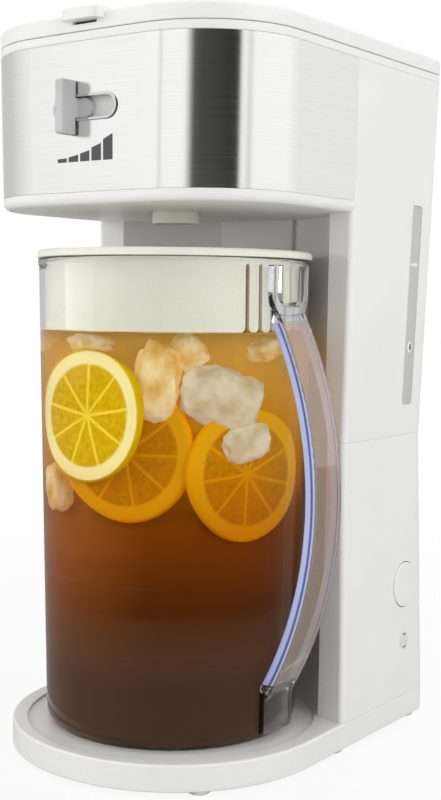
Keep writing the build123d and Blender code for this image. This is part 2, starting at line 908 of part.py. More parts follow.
def make_selector_guide():
    inner = z_selector - shutter_half_height - part_clearance
    outer = inner - rail_thickness
    depth_front = head_inner_depth(rail_half_length + rail_thickness, outer) - 2 * snug_clearance
    depth_back = depth_shutter_back - part_clearance - rail_lip
    height = 2 * (z_selector - outer)
    frame_block = at(0, -(depth_front + depth_back) / 2, z_selector) * Box(
        2 * (rail_half_length + rail_thickness), depth_front - depth_back, height
    )
    channel = at(0, -(depth_front + depth_shutter_back - part_clearance) / 2, z_selector) * Box(
        2 * rail_half_length, depth_front - depth_shutter_back + part_clearance, 2 * (
            shutter_half_height + part_clearance
        )
    )
    mouth = block(
        -rail_half_length, rail_half_length, -depth_back - 5, -depth_back + 5,
        z_selector - shutter_half_height + rail_lip, z_selector + shutter_half_height - rail_lip
    )
    front_window = block(
        -rail_half_length,
        rail_half_length,
        -depth_front - 5,
        -depth_shutter,
        inner,
        2 * z_selector - inner,
    )
    return frame_block - channel - mouth - front_window


def make_strength_gate():
    depth_gate = basket_top_radius - 2.0
    neck = block(
        slug_centre - strength_gate_neck / 2,
        slug_centre + strength_gate_neck / 2,
        -depth_shutter_back,
        -depth_gate,
        z_selector - strength_gate_neck / 2,
        z_selector + strength_gate_neck / 2,
    )
    plate = block(
        slug_centre - strength_gate_width / 2,
        slug_centre + strength_gate_width / 2,
        -depth_gate - strength_gate_thickness,
        -depth_gate,
        z_selector - strength_gate_height / 2,
        z_selector + strength_gate_height / 2,
    )
    return neck + plate


# ---------------------------------------------------------------- brew basket
z_basket_floor = z_ledge - basket_depth
z_outlet = z_head - outlet_drop


def basket_inner_radius(z):
    slope = (basket_top_radius - basket_bottom_radius) / basket_depth
    return basket_bottom_radius + slope * (z - z_basket_floor) - basket_wall


def make_brew_basket():
    top = z_ledge + basket_flange_thickness
    points = [
        (flange_radius, z_ledge),
        (flange_radius, top),
        (basket_inner_radius(top), top),
        (basket_inner_radius(z_basket_floor), z_basket_floor),
        (outlet_radius - outlet_wall, z_basket_floor - basket_cone_height),
        (outlet_radius - outlet_wall, z_outlet),
        (outlet_radius, z_outlet),
        (outlet_radius, z_basket_floor - basket_cone_height - basket_wall),
        (basket_bottom_radius, z_basket_floor - basket_wall),
        (basket_top_radius, z_ledge),
    ]
    profile = make_face(Polyline(*points, close=True))
    body = revolve(Plane.XZ * profile, Axis.Z)
    port = block(
        -bypass_port_width / 2, bypass_port_width / 2, -basket_top_radius - 5, 0,
        z_selector, z_selector + bypass_port_height
    )
    return body - port


def make_basket_screen():
    z = z_basket_floor + screen_rise
    disc = upright(0, 0, z, z + screen_thickness, basket_inner_radius(z) - snug_clearance)
    rings = [(0, 1), (basket_bottom_radius * 0.36, 6), (basket_bottom_radius * 0.7, 12)]
    for radius, count in rings:
        for index in range(count):
            angle = 2 * pi * index / count
            disc -= upright(radius * cos(angle), radius * sin(angle), z - 1, z + 2, screen_hole_radius)
    return disc


# ---------------------------------------------------------------- water path and heater
z_riser_top = z_shower - part_clearance * 2
z_riser_bottom = z_waist - stub_length
z_stub_top = z_heater_top + stub_length
hose_bore = riser_radius + hose_fit
hose_radius = hose_bore + hose_wall
z_valve = (z_stub_top + z_waist - stub_length) / 2
hose_start_gap = 0.5
z_hose_top = z_waist - hose_start_gap


def make_riser_tube():
    return tube(0, riser_offset, z_riser_bottom, z_riser_top, riser_radius, riser_bore)


def make_riser_grommet():
    flange = upright(0, riser_offset, z_tank_floor, z_tank_floor + grommet_thickness, grommet_radius)
    neck = upright(0, riser_offset, z_waist, z_tank_floor, grommet_neck)
    return flange + neck - upright(0, riser_offset, z_waist - 1, z_tank_floor + 5, riser_radius + hose_fit)


def make_check_valve():
    x, y = tank_outlet
    body = upright(x, y, z_valve - valve_length / 2, z_valve + valve_length / 2, valve_radius)
    reach = valve_length / 2 + stub_length
    body += upright(x, y, z_valve - reach, z_valve + reach, riser_radius)
    return body - upright(x, y, z_valve - reach - 1, z_valve + reach + 1, riser_bore)


def make_inlet_hoses():
    x, y = tank_outlet
    low = tube(
        x,
        y,
        z_heater_top + hose_start_gap,
        z_valve - valve_length / 2 - snug_clearance,
        hose_radius,
        hose_bore,
    )
    high = tube(x, y, z_valve + valve_length / 2 + snug_clearance, z_hose_top, hose_radius, hose_bore)
    return [low, high]


def make_outlet_hose():
    x, y = heater_outlet
    low = Vector(x, y, z_heater_top + hose_start_gap)
    lower_bend = Vector(x, y, z_stub_top + hose_bend_radius)
    upper_bend = Vector(0, riser_offset, z_riser_bottom - hose_bend_radius)
    high = Vector(0, riser_offset, z_hose_top)
    path = FilletPolyline(low, lower_bend, upper_bend, high, radius=hose_bend_radius)
    start = Plane(origin=low, z_dir=(0, 0, 1))
    ring = Circle(hose_radius) - Circle(hose_bore)
    return sweep(start * ring, path=path)


def make_hose_clamps():
    inner = hose_radius + hose_fit
    low = z_heater_top + stub_length / 2
    spots = [
        (*tank_outlet, low),
        (*tank_outlet, z_valve - valve_length / 2 - stub_length / 2),
        (*tank_outlet, z_valve + valve_length / 2 + stub_length / 2),
        (*tank_outlet, z_waist - stub_length / 2),
        (*heater_outlet, low),
        (0, riser_offset, z_waist - stub_length / 2),
    ]
    return [
        tube(x, y, z - clamp_height / 2, z + clamp_height / 2, inner + clamp_thickness, inner)
        for x, y, z in spots
    ]


def on_circle(radius, angle):
    return radius * cos(radians(angle)), radius * sin(radians(angle))


def make_heater():
    outer = heater_path_radius + heater_width / 2
    inner = heater_path_radius - heater_width / 2
    section = [
        arc((0, 0), outer, radians(90 - heater_sweep), radians(90 + heater_sweep)),
        Line(on_circle(outer, 90 + heater_sweep), on_circle(inner, 90 + heater_sweep)),
        arc((0, 0), inner, radians(90 + heater_sweep), radians(90 - heater_sweep)),
        Line(on_circle(inner, 90 - heater_sweep), on_circle(outer, 90 - heater_sweep)),
    ]
    body = extrude(at(0, 0, z_heater) * Face(Wire(section)), heater_height)
    body = fillet(body.edges().filter_by(GeomType.CIRCLE), 3.0)
    for x, y in (tank_outlet, heater_outlet):
        body += upright(x, y, z_heater_top - 1, z_stub_top, riser_radius)
        body -= upright(x, y, z_heater_top - heater_height / 2, z_stub_top + 1, riser_bore)
    return body


def make_heater_straps():
    half = heater_width / 2 + part_clearance
    straps = []
    for side in (1, -1):
        height = z_heater_top - z_plate + strap_thickness
        shell = block(
            -half - strap_thickness,
            half + strap_thickness,
            -strap_width / 2,
            strap_width / 2,
            0,
            height,
        )
        shell -= block(-half, half, -strap_width, strap_width, -1, height - strap_thickness + hose_fit)
        foot_end = half + strap_thickness + strap_foot
        feet = block(-foot_end, foot_end, -strap_width / 2, strap_width / 2, 0, strap_thickness)
        feet -= block(-half, half, -strap_width, strap_width, -1, strap_thickness + 1)
        shell += feet
        for step in (1, -1):
            shell -= upright(step * strap_foot_middle, 0, -1, strap_thickness + 1, screw_hole)
        straps.append(around_heater(side * strap_angle, z_plate) * shell)
    return straps


def make_strap_screws():
    length = strap_thickness + plate_thickness - 1
    return [
        place * at(0, 0, z_plate + strap_thickness) * Rot(180, 0, 0) * screw(length)
        for place in strap_screw_places
    ]


def make_thermostat():
    place = around_heater(0, z_heater_top)
    body = place * upright(0, 0, 0, thermostat_height / 2, thermostat_radius)
    body += place * upright(0, 0, thermostat_height / 2, thermostat_height, thermostat_radius * 0.75)
    for side in (1, -1):
        body += place * block(
            side * 4 - 0.4, side * 4 + 0.4, -3, 3, thermostat_height, thermostat_height + 7
        )
    return body


fuse_angle = 11.0


def make_thermal_fuse():
    sleeve = Rot(90, 0, 0) * Cylinder(fuse_radius, fuse_length)
    return around_heater(-fuse_angle, z_heater_top + fuse_radius + snug_clearance) * sleeve


# ---------------------------------------------------------------- power button, switch and pilot light
pocket_radius = 6.6
pocket_depth = 4.0
stem_reach = 1.2


def make_power_button():
    x_face = x_button_face + button_proud
    body = crosswise(x_flange_back, x_face, button_depth, z_button, button_radius)
    rim = body.faces().sort_by(Axis.X)[-1].edges()
    body = fillet(rim, button_crown)
    body += crosswise(x_flange_back, x_flange, button_depth, z_button, button_radius + button_flange)
    body -= crosswise(
        x_flange_back - 1, x_flange_back + pocket_depth, button_depth, z_button, pocket_radius
    )
    return body + crosswise(
        x_switch - stem_reach,
        x_flange_back + pocket_depth + 1,
        button_depth,
        z_button,
        button_stem_radius,
    )


def make_button_spring():
    length = x_flange_back + pocket_depth - x_switch - 2 * spring_wire - 2 * snug_clearance
    radius = (pocket_radius + button_stem_radius) / 2
    coil = Helix(length / spring_turns, length, radius)
    section = Plane(origin=coil @ 0, z_dir=coil % 0) * Circle(spring_wire)
    wire = sweep(section, path=coil)
    place = at(x_switch + spring_wire + snug_clearance, button_depth, z_button) * Rot(0, 90, 0)
    return place * wire


def make_switch_body():
    flange_half = switch_post_rise + switch_post_radius
    body = block(
        x_switch - switch_flange,
        x_switch,
        button_depth - switch_width / 2,
        button_depth + switch_width / 2,
        z_button - flange_half,
        z_button + flange_half,
    )
    body += block(
        x_switch - switch_flange - switch_length,
        x_switch - switch_flange,
        button_depth - switch_width / 2,
        button_depth + switch_width / 2,
        z_button - switch_height / 2,
        z_button + switch_height / 2,
    )
    bore_end = x_switch - stem_reach - button_travel - 1
    body -= crosswise(bore_end, x_switch + 1, button_depth, z_button, button_stem_radius + part_clearance)
    for side in (1, -1):
        z = z_button + side * switch_post_rise
        body -= crosswise(x_switch - switch_flange - 1, x_switch + 1, button_depth, z, screw_hole)
        z = z_button + side * switch_height / 4
        x = x_switch - switch_flange - switch_length
        body += block(x - 7, x, button_depth - 3, button_depth + 3, z - 0.4, z + 0.4)
    return body


def make_switch_screws():
    length = x_button_wall - 1 - x_switch
    screws = []
    for side in (1, -1):
        place = at(x_switch - switch_flange, button_depth, z_button + side * switch_post_rise)
        screws.append(place * Rot(0, 90, 0) * screw(length))
    return screws


def make_pilot_lens():
    x_face = half_width(pilot_height)
    x_inner = x_face - wall
    lens = crosswise(
        x_inner - part_clearance / 3 - pilot_flange,
        x_face + pilot_proud,
        button_depth,
        pilot_height,
        pilot_radius,
    )
    lens = fillet(lens.faces().sort_by(Axis.X)[-1].edges(), pilot_proud)
    x_back = x_inner - part_clearance / 3
    return lens + crosswise(
        x_back - pilot_flange, x_back, button_depth, pilot_height, pilot_radius + pilot_flange
    )


def make_pilot_lamp():
    x_lens = half_width(pilot_height) - wall - part_clearance / 3 - pilot_flange
    tip = x_lens - snug_clearance
    lamp = crosswise(tip - lamp_length, tip, button_depth, pilot_height, lamp_radius)
    return fillet(lamp.faces().sort_by(Axis.X)[-1].edges(), lamp_radius * 0.8)


# ---------------------------------------------------------------- pitcher
z_rim = z_tray + pitcher_height
z_bead = z_rim - rim_bead_height


def pitcher_radius(z):
    return pitcher_foot_radius + (pitcher_rim_radius - pitcher_foot_radius) * (z - z_tray) / pitcher_height


def pitcher_envelope(grow=0.0):
    """Solid of the pitcher's outside, from the foot up to the rim."""
    points = [
        (0, z_tray),
        (pitcher_foot_radius + grow, z_tray),
        (pitcher_rim_radius + grow, z_rim),
        (0, z_rim),
    ]
    return revolve(Plane.XZ * make_face(Polyline(*points, close=True)), Axis.Z)


def make_pitcher_body():
    round_top = z_tray + pitcher_foot_round
    inner_round = pitcher_foot_round - pitcher_floor + 1.0
    inner_radius = pitcher_foot_radius - pitcher_wall
    z_floor = z_tray + pitcher_floor
    stand = pitcher_foot_radius - pitcher_foot_round
    punt = 1.0
    diagonal = 1 - sqrt(0.5)
    edges = [
        Line((0, z_tray + punt), (stand - 6, z_tray + punt)),
        Line((stand - 6, z_tray + punt), (stand - 4, z_tray)),
        Line((stand - 4, z_tray), (stand, z_tray)),
        ThreePointArc(
            (stand, z_tray),
            (pitcher_foot_radius - pitcher_foot_round * diagonal, z_tray + pitcher_foot_round * diagonal),
            (pitcher_radius(round_top), round_top),
        ),
        Line((pitcher_radius(round_top), round_top), (pitcher_radius(z_bead), z_bead)),
        Line((pitcher_radius(z_bead), z_bead), (pitcher_rim_radius + rim_bead_proud, z_bead)),
        Line((pitcher_rim_radius + rim_bead_proud, z_bead), (pitcher_rim_radius + rim_bead_proud, z_rim)),
        Line((pitcher_rim_radius + rim_bead_proud, z_rim), (pitcher_rim_radius - pitcher_wall, z_rim)),
        Line((pitcher_rim_radius - pitcher_wall, z_rim), (inner_radius, z_floor + inner_round)),
        ThreePointArc(
            (inner_radius, z_floor + inner_round),
            (inner_radius - inner_round * diagonal, z_floor + inner_round * diagonal),
            (inner_radius - inner_round, z_floor),
        ),
        Line((inner_radius - inner_round, z_floor), (0, z_floor)),
        Line((0, z_floor), (0, z_tray + punt)),
    ]
    body = revolve(Plane.XZ * Face(Wire(edges)), Axis.Z)
    cone = Cone(1.0, lip_radius, lip_depth)
    place = at(-lip_centre, 0, z_rim - lip_depth / 2)
    inside = revolve(
        Plane.XZ
        * make_face(
            Polyline(
                (0, z_floor),
                (inner_radius, z_floor + inner_round),
                (pitcher_rim_radius - pitcher_wall, z_rim),
                (0, z_rim),
                close=True,
            )
        ),
        Axis.Z,
    )
    body += place * cone - inside
    spout = Cone(1.0, lip_radius, lip_depth)
    return body - at(pitcher_wall, 0, snug_clearance) * place * spout


def make_pitcher_handle():
    top = Vector(pitcher_radius(z_rim - handle_top_drop) - 1.2, z_rim - handle_top_drop)
    middle = Vector(handle_reach - handle_thickness / 2, z_tray + handle_middle_height)
    bottom = Vector(pitcher_radius(z_tray + handle_bottom_rise) - 2.0, z_tray + handle_bottom_rise)
    line = ThreePointArc(top, middle, bottom)
    centre, radius = line.arc_center, line.radius
    side = abs(radius)

    def disc(reach, half):
        ring = at(centre.X, 0, centre.Y) * Rot(90, 0, 0) * Cylinder(reach, 2 * half)
        return ring

    strap = disc(
        side + handle_thickness / 2, handle_width / 2
    ) - disc(side - handle_thickness / 2, handle_width)
    strap = fillet(strap.edges().filter_by(GeomType.CIRCLE), 1.2)
    floor_reach = side - handle_thickness / 2 + handle_channel_depth
    strap -= disc(floor_reach, handle_width / 2 - handle_rib) - disc(side - handle_thickness, handle_width)
    strap &= block(
        0, far, -handle_width, handle_width, z_tray + handle_bottom_rise / 2, z_rim - handle_top_drop / 2
    )
    envelope = pitcher_envelope()
    yoke_low, yoke_top = z_bead - yoke_height, z_bead
    yoke = at(0, yoke_low + yoke_height, 0) * Rectangle(2 * yoke_half_width, 2 * yoke_height)
    yoke = fillet(yoke.vertices().group_by(Axis.Y)[0], yoke_half_width * 0.7)
    gap = at(0, yoke_low + yoke_height + yoke_bar, 0) * Rectangle(
        2 * (yoke_half_width - yoke_bar), 2 * yoke_height
    )
    gap = fillet(gap.vertices().group_by(Axis.Y)[0], (yoke_half_width - yoke_bar) * 0.7)
    yoke = extrude(Plane.YZ * (yoke - gap), handle_reach)
    yoke &= pitcher_envelope(yoke_proud) & block(0, far, -far, far, z_tray, yoke_top)
    heel_top = z_tray + handle_bottom_rise + 4
    heel = block(0, handle_reach, -handle_width / 2, handle_width / 2, heel_top - heel_height, heel_top)
    heel &= pitcher_envelope(heel_proud)
    return strap + yoke + heel - envelope


# ---------------------------------------------------------------- pitcher lid
z_jug_lid = z_rim + part_clearance
z_skirt = z_jug_lid - jug_lid_skirt_depth
skirt_clearance = 0.5
skirt_radius = pitcher_radius(z_skirt) - pitcher_wall - skirt_clearance


def make_pitcher_lid():
    top = z_jug_lid + jug_lid_thickness - part_clearance
    rim = pitcher_rim_radius + rim_bead_proud
    points = [
        (drip_hole_radius, z_jug_lid),
        (skirt_radius - jug_lid_wall, z_jug_lid),
        (skirt_radius - jug_lid_wall, z_skirt),
        (skirt_radius, z_skirt),
        (skirt_radius, z_jug_lid),
        (rim, z_jug_lid),
        (rim, top - 1),
        (rim - 1, top),
        (drip_dish_radius, top),
        (drip_hole_radius, top - drip_dish_depth),
    ]
    body = revolve(Plane.XZ * make_face(Polyline(*points, close=True)), Axis.Z)
    half_slot = strainer_slot / 2
    half_pitch = skirt_radius * radians(strainer_pitch) / 2
    bend = half_pitch - half_slot
    slot_top = z_jug_lid - strainer_top_margin - half_slot
    outline = [
        Line((-half_pitch, z_skirt - 1), (-half_pitch, z_skirt)),
        arc((-half_pitch, z_skirt + bend), bend, -pi / 2, 0),
        Line((-half_slot, z_skirt + bend), (-half_slot, slot_top)),
        arc((0, slot_top), half_slot, pi, 0),
        Line((half_slot, slot_top), (half_slot, z_skirt + bend)),
        arc((half_pitch, z_skirt + bend), bend, pi, 3 * pi / 2),
        Line((half_pitch, z_skirt), (half_pitch, z_skirt - 1)),
        Line((half_pitch, z_skirt - 1), (-half_pitch, z_skirt - 1)),
    ]
    cutter = front_prism(Face(Wire(outline)), skirt_radius - 3 * jug_lid_wall, skirt_radius + jug_lid_wall)
    for index in range(strainer_slots):
        angle = strainer_middle + strainer_pitch * (index - (strainer_slots - 1) / 2)
        body -= Rot(0, 0, angle) * cutter
    return body


# ---------------------------------------------------------------- write the pieces
pieces = {
    "base_shell": make_base_shell,
    "bottom_cover": make_bottom_cover,
    "feet": make_feet,
    "cover_screws": make_cover_screws,
    "case_screws": make_case_screws,
    "lower_housing": make_lower_housing,
    "upper_housing": make_upper_housing,
    "water_window": make_water_window,
    "top_deck": make_top_deck,
    "hinge_pins": make_hinge_pins,
    "top_lid": make_top_lid,
    "lid_shower_panel": make_lid_panel,
    "steel_band": make_steel_band,
    "selector_bezel": make_selector_bezel,
    "strength_knob": make_strength_knob,
    "slider_shutter": make_slider_shutter,
    "selector_guide": make_selector_guide,
    "strength_gate": make_strength_gate,
    "brew_basket": make_brew_basket,
    "basket_screen": make_basket_screen,
    "riser_tube": make_riser_tube,
    "riser_grommet": make_riser_grommet,
    "check_valve": make_check_valve,
    "inlet_hoses": make_inlet_hoses,
    "outlet_hose": make_outlet_hose,
    "hose_clamps": make_hose_clamps,
    "heater": make_heater,
    "heater_straps": make_heater_straps,
    "strap_screws": make_strap_screws,
    "thermostat": make_thermostat,
    "thermal_fuse": make_thermal_fuse,
    "power_button": make_power_button,
    "button_spring": make_button_spring,
    "switch_body": make_switch_body,
    "switch_screws": make_switch_screws,
    "pilot_lens": make_pilot_lens,
    "pilot_lamp": make_pilot_lamp,
    "pitcher_body": make_pitcher_body,
    "pitcher_handle": make_pitcher_handle,
    "pitcher_lid": make_pitcher_lid,
}

for name, make in pieces.items():
    shape = make()
    save(name, Compound(children=shape) if isinstance(shape, list) else shape)
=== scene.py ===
from math import cos, hypot, pi, radians, sin, sqrt
import bmesh
import bpy
from mathutils import Matrix, Vector, noise


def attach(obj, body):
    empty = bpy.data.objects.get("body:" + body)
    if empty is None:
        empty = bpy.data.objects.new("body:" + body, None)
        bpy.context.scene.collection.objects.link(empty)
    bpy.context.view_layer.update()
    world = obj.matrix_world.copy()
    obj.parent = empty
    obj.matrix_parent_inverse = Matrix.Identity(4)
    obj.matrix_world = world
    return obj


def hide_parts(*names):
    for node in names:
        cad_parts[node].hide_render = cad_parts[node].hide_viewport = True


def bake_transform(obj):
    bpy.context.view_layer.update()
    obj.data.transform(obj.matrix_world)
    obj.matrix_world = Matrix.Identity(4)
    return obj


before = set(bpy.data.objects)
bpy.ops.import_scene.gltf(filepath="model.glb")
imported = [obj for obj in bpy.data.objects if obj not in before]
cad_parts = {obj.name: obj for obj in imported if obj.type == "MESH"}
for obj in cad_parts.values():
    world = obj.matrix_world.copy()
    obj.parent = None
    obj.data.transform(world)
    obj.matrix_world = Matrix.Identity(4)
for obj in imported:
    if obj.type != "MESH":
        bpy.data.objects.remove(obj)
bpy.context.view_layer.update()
print("frame loaded")

mm = 0.001

# a colour Mix node's sockets by number, as its names repeat
mixFactor, mixFrom, mixTo, mixResult = 0, 6, 7, 2


# colours and nodes
def hexColour(text):  # sRGB hex to linear
    channels = [int(text[i:i + 2], 16) / 255 for i in (1, 3, 5)]
    linear = [c / 12.92 if c <= 0.04045 else ((c + 0.055) / 1.055) ** 2.4 for c in channels]
    return (*linear, 1.0)


def linkInputs(tree, node, links):  # a source is an output, or a node whose first output is meant
    for name, source in links.items():
        output = source if isinstance(source, bpy.types.NodeSocket) else source.outputs[0]
        tree.links.new(output, node.inputs[name])


def addNode(tree, kind, settings=None, links=None, stops=None):  # stops are a ramp's (place, hex) pairs
    node = tree.nodes.new("ShaderNode" + kind)
    for name, value in (settings or {}).items():
        if isinstance(name, str) and hasattr(node, name):
            setattr(node, name, value)
        else:
            node.inputs[name].default_value = value
    linkInputs(tree, node, links or {})
    for index, (place, colour) in enumerate(stops or []):
        elements = node.color_ramp.elements
        element = elements[index] if index < 2 else elements.new(place)
        element.position = place
        element.color = hexColour(colour)
    return node


def newMaterial(name, settings):
    material = bpy.data.materials.new(name)
    material.use_nodes = True
    tree = material.node_tree
    tree.nodes.clear()
    shader = addNode(tree, "BsdfPrincipled", settings)
    output = addNode(tree, "OutputMaterial", links={"Surface": shader})
    where = addNode(tree, "TexCoord").outputs["Object"]
    return material, tree, shader, output, where


# moulded plastics and rubbers: satin skins with a soft catch of light on every edge and the faint waviness of a
# moulded face
plastics = {
    "whiteAbs": {
        "colour": "#F1F1EF", "shade": "#EFEFED", "roughness": 0.32, "grainMm": 1.2, "depth": 0.0004, "edgeMm": 0.4,
    },
    "creamPolypropylene": {
        "colour": "#F2F0E4", "shade": "#F0EEE2", "roughness": 0.38, "grainMm": 1.6, "depth": 0.0006, "edgeMm": 0.4,
    },
    "lightGreyAbs": {
        "colour": "#CACACB", "shade": "#C2C2C3", "roughness": 0.32, "grainMm": 1.2, "depth": 0.0004, "edgeMm": 0.35,
    },
    "darkPhenolic": {
        "colour": "#2A2A2C", "shade": "#222224", "roughness": 0.55, "grainMm": 0.8, "depth": 0.001, "edgeMm": 0.3,
    },
    "blackRubber": {
        "colour": "#262626", "shade": "#1E1E1E", "roughness": 0.75, "grainMm": 0.7, "depth": 0.0015, "edgeMm": 0.4,
    },
    "paleRubber": {
        "colour": "#DCDCDA", "shade": "#D2D2D0", "roughness": 0.7, "grainMm": 0.7, "depth": 0.0012, "edgeMm": 0.4,
    },
    "milkySilicone": {
        "colour": "#E6E3D8", "shade": "#DAD7CB", "roughness": 0.45, "grainMm": 2.0, "depth": 0.0006, "edgeMm": 0.3,
    },
}
cloudMm = 40  # the tone of a moulded face drifts over this length


def mouldedPlastic(name):
    look = plastics[name]
    settings = {"Base Color": hexColour(look["colour"]), "Roughness": look["roughness"], "IOR": 1.5}
    material, tree, shader, _, where = newMaterial(name, settings)
    cloud = addNode(tree, "TexNoise", {"Scale": 1 / (cloudMm * mm)}, {"Vector": where})
    tone = addNode(tree, "ValToRGB", links={"Fac": cloud}, stops=[(0.35, look["shade"]), (0.65, look["colour"])])
    skin = addNode(tree, "TexNoise", {"Scale": 1 / (look["grainMm"] * mm), "Detail": 3.0}, {"Vector": where})
    limits = {
        "From Min": 0.3, "From Max": 0.7, "To Min": look["roughness"] - 0.03, "To Max": look["roughness"] + 0.04,
    }
    spread = addNode(tree, "MapRange", limits, {"Value": skin})
    edge = addNode(tree, "Bevel", {"samples": 6, "Radius": look["edgeMm"] * mm})
    depth = {"Strength": 0.25, "Distance": look["depth"] * look["grainMm"]}
    bump = addNode(tree, "Bump", depth, {"Height": skin, "Normal": edge})
    linkInputs(tree, shader, {"Base Color": tone, "Roughness": spread, "Normal": bump})
    return material


# plain metals: grey or brassy gleams, finely speckled by plating, casting or polishing
metals = {
    "zincPlatedSteel": {"colour": "#B9B9B4", "roughness": 0.32, "grainMm": 0.6},
    "dieCastAluminium": {"colour": "#A9ABAD", "roughness": 0.48, "grainMm": 0.9},
    "brass": {"colour": "#B08B45", "roughness": 0.35, "grainMm": 0.5},
    "chromedRim": {"colour": "#DADBDD", "roughness": 0.07, "grainMm": 3.0},
    "perforatedSteel": {"colour": "#B4B4B2", "roughness": 0.25, "grainMm": 0.5},
}


def plainMetal(name):
    look = metals[name]
    settings = {"Base Color": hexColour(look["colour"]), "Metallic": 1.0, "Roughness": look["roughness"]}
    material, tree, shader, _, where = newMaterial(name, settings)
    speckle = addNode(tree, "TexNoise", {"Scale": 1 / (look["grainMm"] * mm), "Detail": 4.0}, {"Vector": where})
    limits = {
        "From Min": 0.3, "From Max": 0.7, "To Min": look["roughness"] * 0.8, "To Max": look["roughness"] * 1.25,
    }
    spread = addNode(tree, "MapRange", limits, {"Value": speckle})
    bump = addNode(tree, "Bump", {"Strength": 0.15, "Distance": 0.02 * mm}, {"Height": speckle})
    linkInputs(tree, shader, {"Roughness": spread, "Normal": bump})
    return material


# brushed stainless steel: level strokes that stretch highlights up and down, drawn 0.4 mm apart to show
steelLook = {
    "colour": "#FAFAF8", "dull": "#F2F2F0", "roughness": 0.15, "strokeMm": 0.4, "strokeLength": 90.0,
    "depthMm": 0.0005,
}


def brushedSteel():
    look = steelLook
    settings = {"Base Color": hexColour(look["colour"]), "Metallic": 1.0, "Roughness": look["roughness"]}
    settings.update({"Anisotropic": 0.6, "Anisotropic Rotation": 0.25})
    material, tree, shader, _, where = newMaterial("brushedStainlessSteel", settings)
    along = 1 / look["strokeLength"]
    level = addNode(tree, "Mapping", {"Scale": (along, along, 1)}, {"Vector": where})
    strokes = addNode(tree, "TexNoise", {"Scale": 1 / (look["strokeMm"] * mm), "Detail": 4.0}, {"Vector": level})
    limits = {
        "From Min": 0.3, "From Max": 0.7, "To Min": look["roughness"] * 0.85, "To Max": look["roughness"] * 1.2,
    }
    spread = addNode(tree, "MapRange", limits, {"Value": strokes})
    tone = addNode(tree, "ValToRGB", links={"Fac": strokes}, stops=[(0.3, look["dull"]), (0.7, look["colour"])])
    bump = addNode(tree, "Bump", {"Strength": 0.3, "Distance": look["depthMm"] * mm}, {"Height": strokes})
    tangent = addNode(tree, "Tangent", {"direction_type": "RADIAL", "axis": "Z"})
    linkInputs(tree, shader, {"Base Color": tone, "Roughness": spread, "Normal": bump, "Tangent": tangent})
    return material


# clear styrene-acrylonitrile: glassy walls, faintly wavy, that let the lamps through to what they hold; a wall
# wetted by tea bends light less and shows no reflection of its own
sanIor, waterIor = 1.57, 1.333
clears = {
    "clearSan": {
        "colour": "#FBFCFA", "ior": sanIor, "roughness": 0.01, "waveMm": 9.0, "waveDepth": 0.03, "shine": "#343434",
    },
    "wettedSan": {
        "colour": "#FFFFFF", "ior": sanIor / waterIor, "roughness": 0.0, "waveMm": 9.0, "waveDepth": 0.0,
        "shine": "#FFFFFF",
    },
    "clearHandleSan": {
        "colour": "#F1F3FA", "ior": sanIor, "roughness": 0.02, "waveMm": 6.0, "waveDepth": 0.03, "shine": "#FFFFFF",
    },
}


def letLampsThrough(tree, shader, output, tint):  # a shadow ray crosses the wall with only its tint
    rays = addNode(tree, "LightPath")
    clear = addNode(tree, "BsdfTransparent", {"Color": hexColour(tint)})
    mix = addNode(tree, "MixShader", links={0: rays.outputs["Is Shadow Ray"], 1: shader, 2: clear})
    linkInputs(tree, output, {"Surface": mix})


def clearPlastic(name):
    look = clears[name]
    settings = {
        "Base Color": hexColour(look["colour"]), "Transmission Weight": 1.0, "IOR": look["ior"],
        "Roughness": look["roughness"], "Specular Tint": hexColour(look["shine"]),
    }
    material, tree, shader, output, where = newMaterial(name, settings)
    waves = addNode(tree, "TexNoise", {"Scale": 1 / (look["waveMm"] * mm)}, {"Vector": where})
    bump = addNode(tree, "Bump", {"Strength": 0.15, "Distance": look["waveDepth"] * mm}, {"Height": waves})
    linkInputs(tree, shader, {"Normal": bump})
    letLampsThrough(tree, shader, output, look["colour"])
    return material


# painted light: the strap's front edge, on its -y side, is painted a blue glow with a darker blue line where the
# channel starts, and its outer face is painted a tan refraction and lets less light through; arcCentre is (x, z),
# and line is the radius of the dark line about it
handleEdge = {
    "arcCentre": (-99.83, 135.87), "low": 44.0, "high": 222.0, "line": 193.4, "lineWidth": 1.0,
    "edgeFacing": -0.8, "transmission": 0.22, "paintedGlowColour": "#CCD6FF", "paintedLineColour": "#5560A8",
    "outerFacing": 0.35, "faceTransmission": 0.82, "paintedRefractionColour": "#E0CBB8",
}


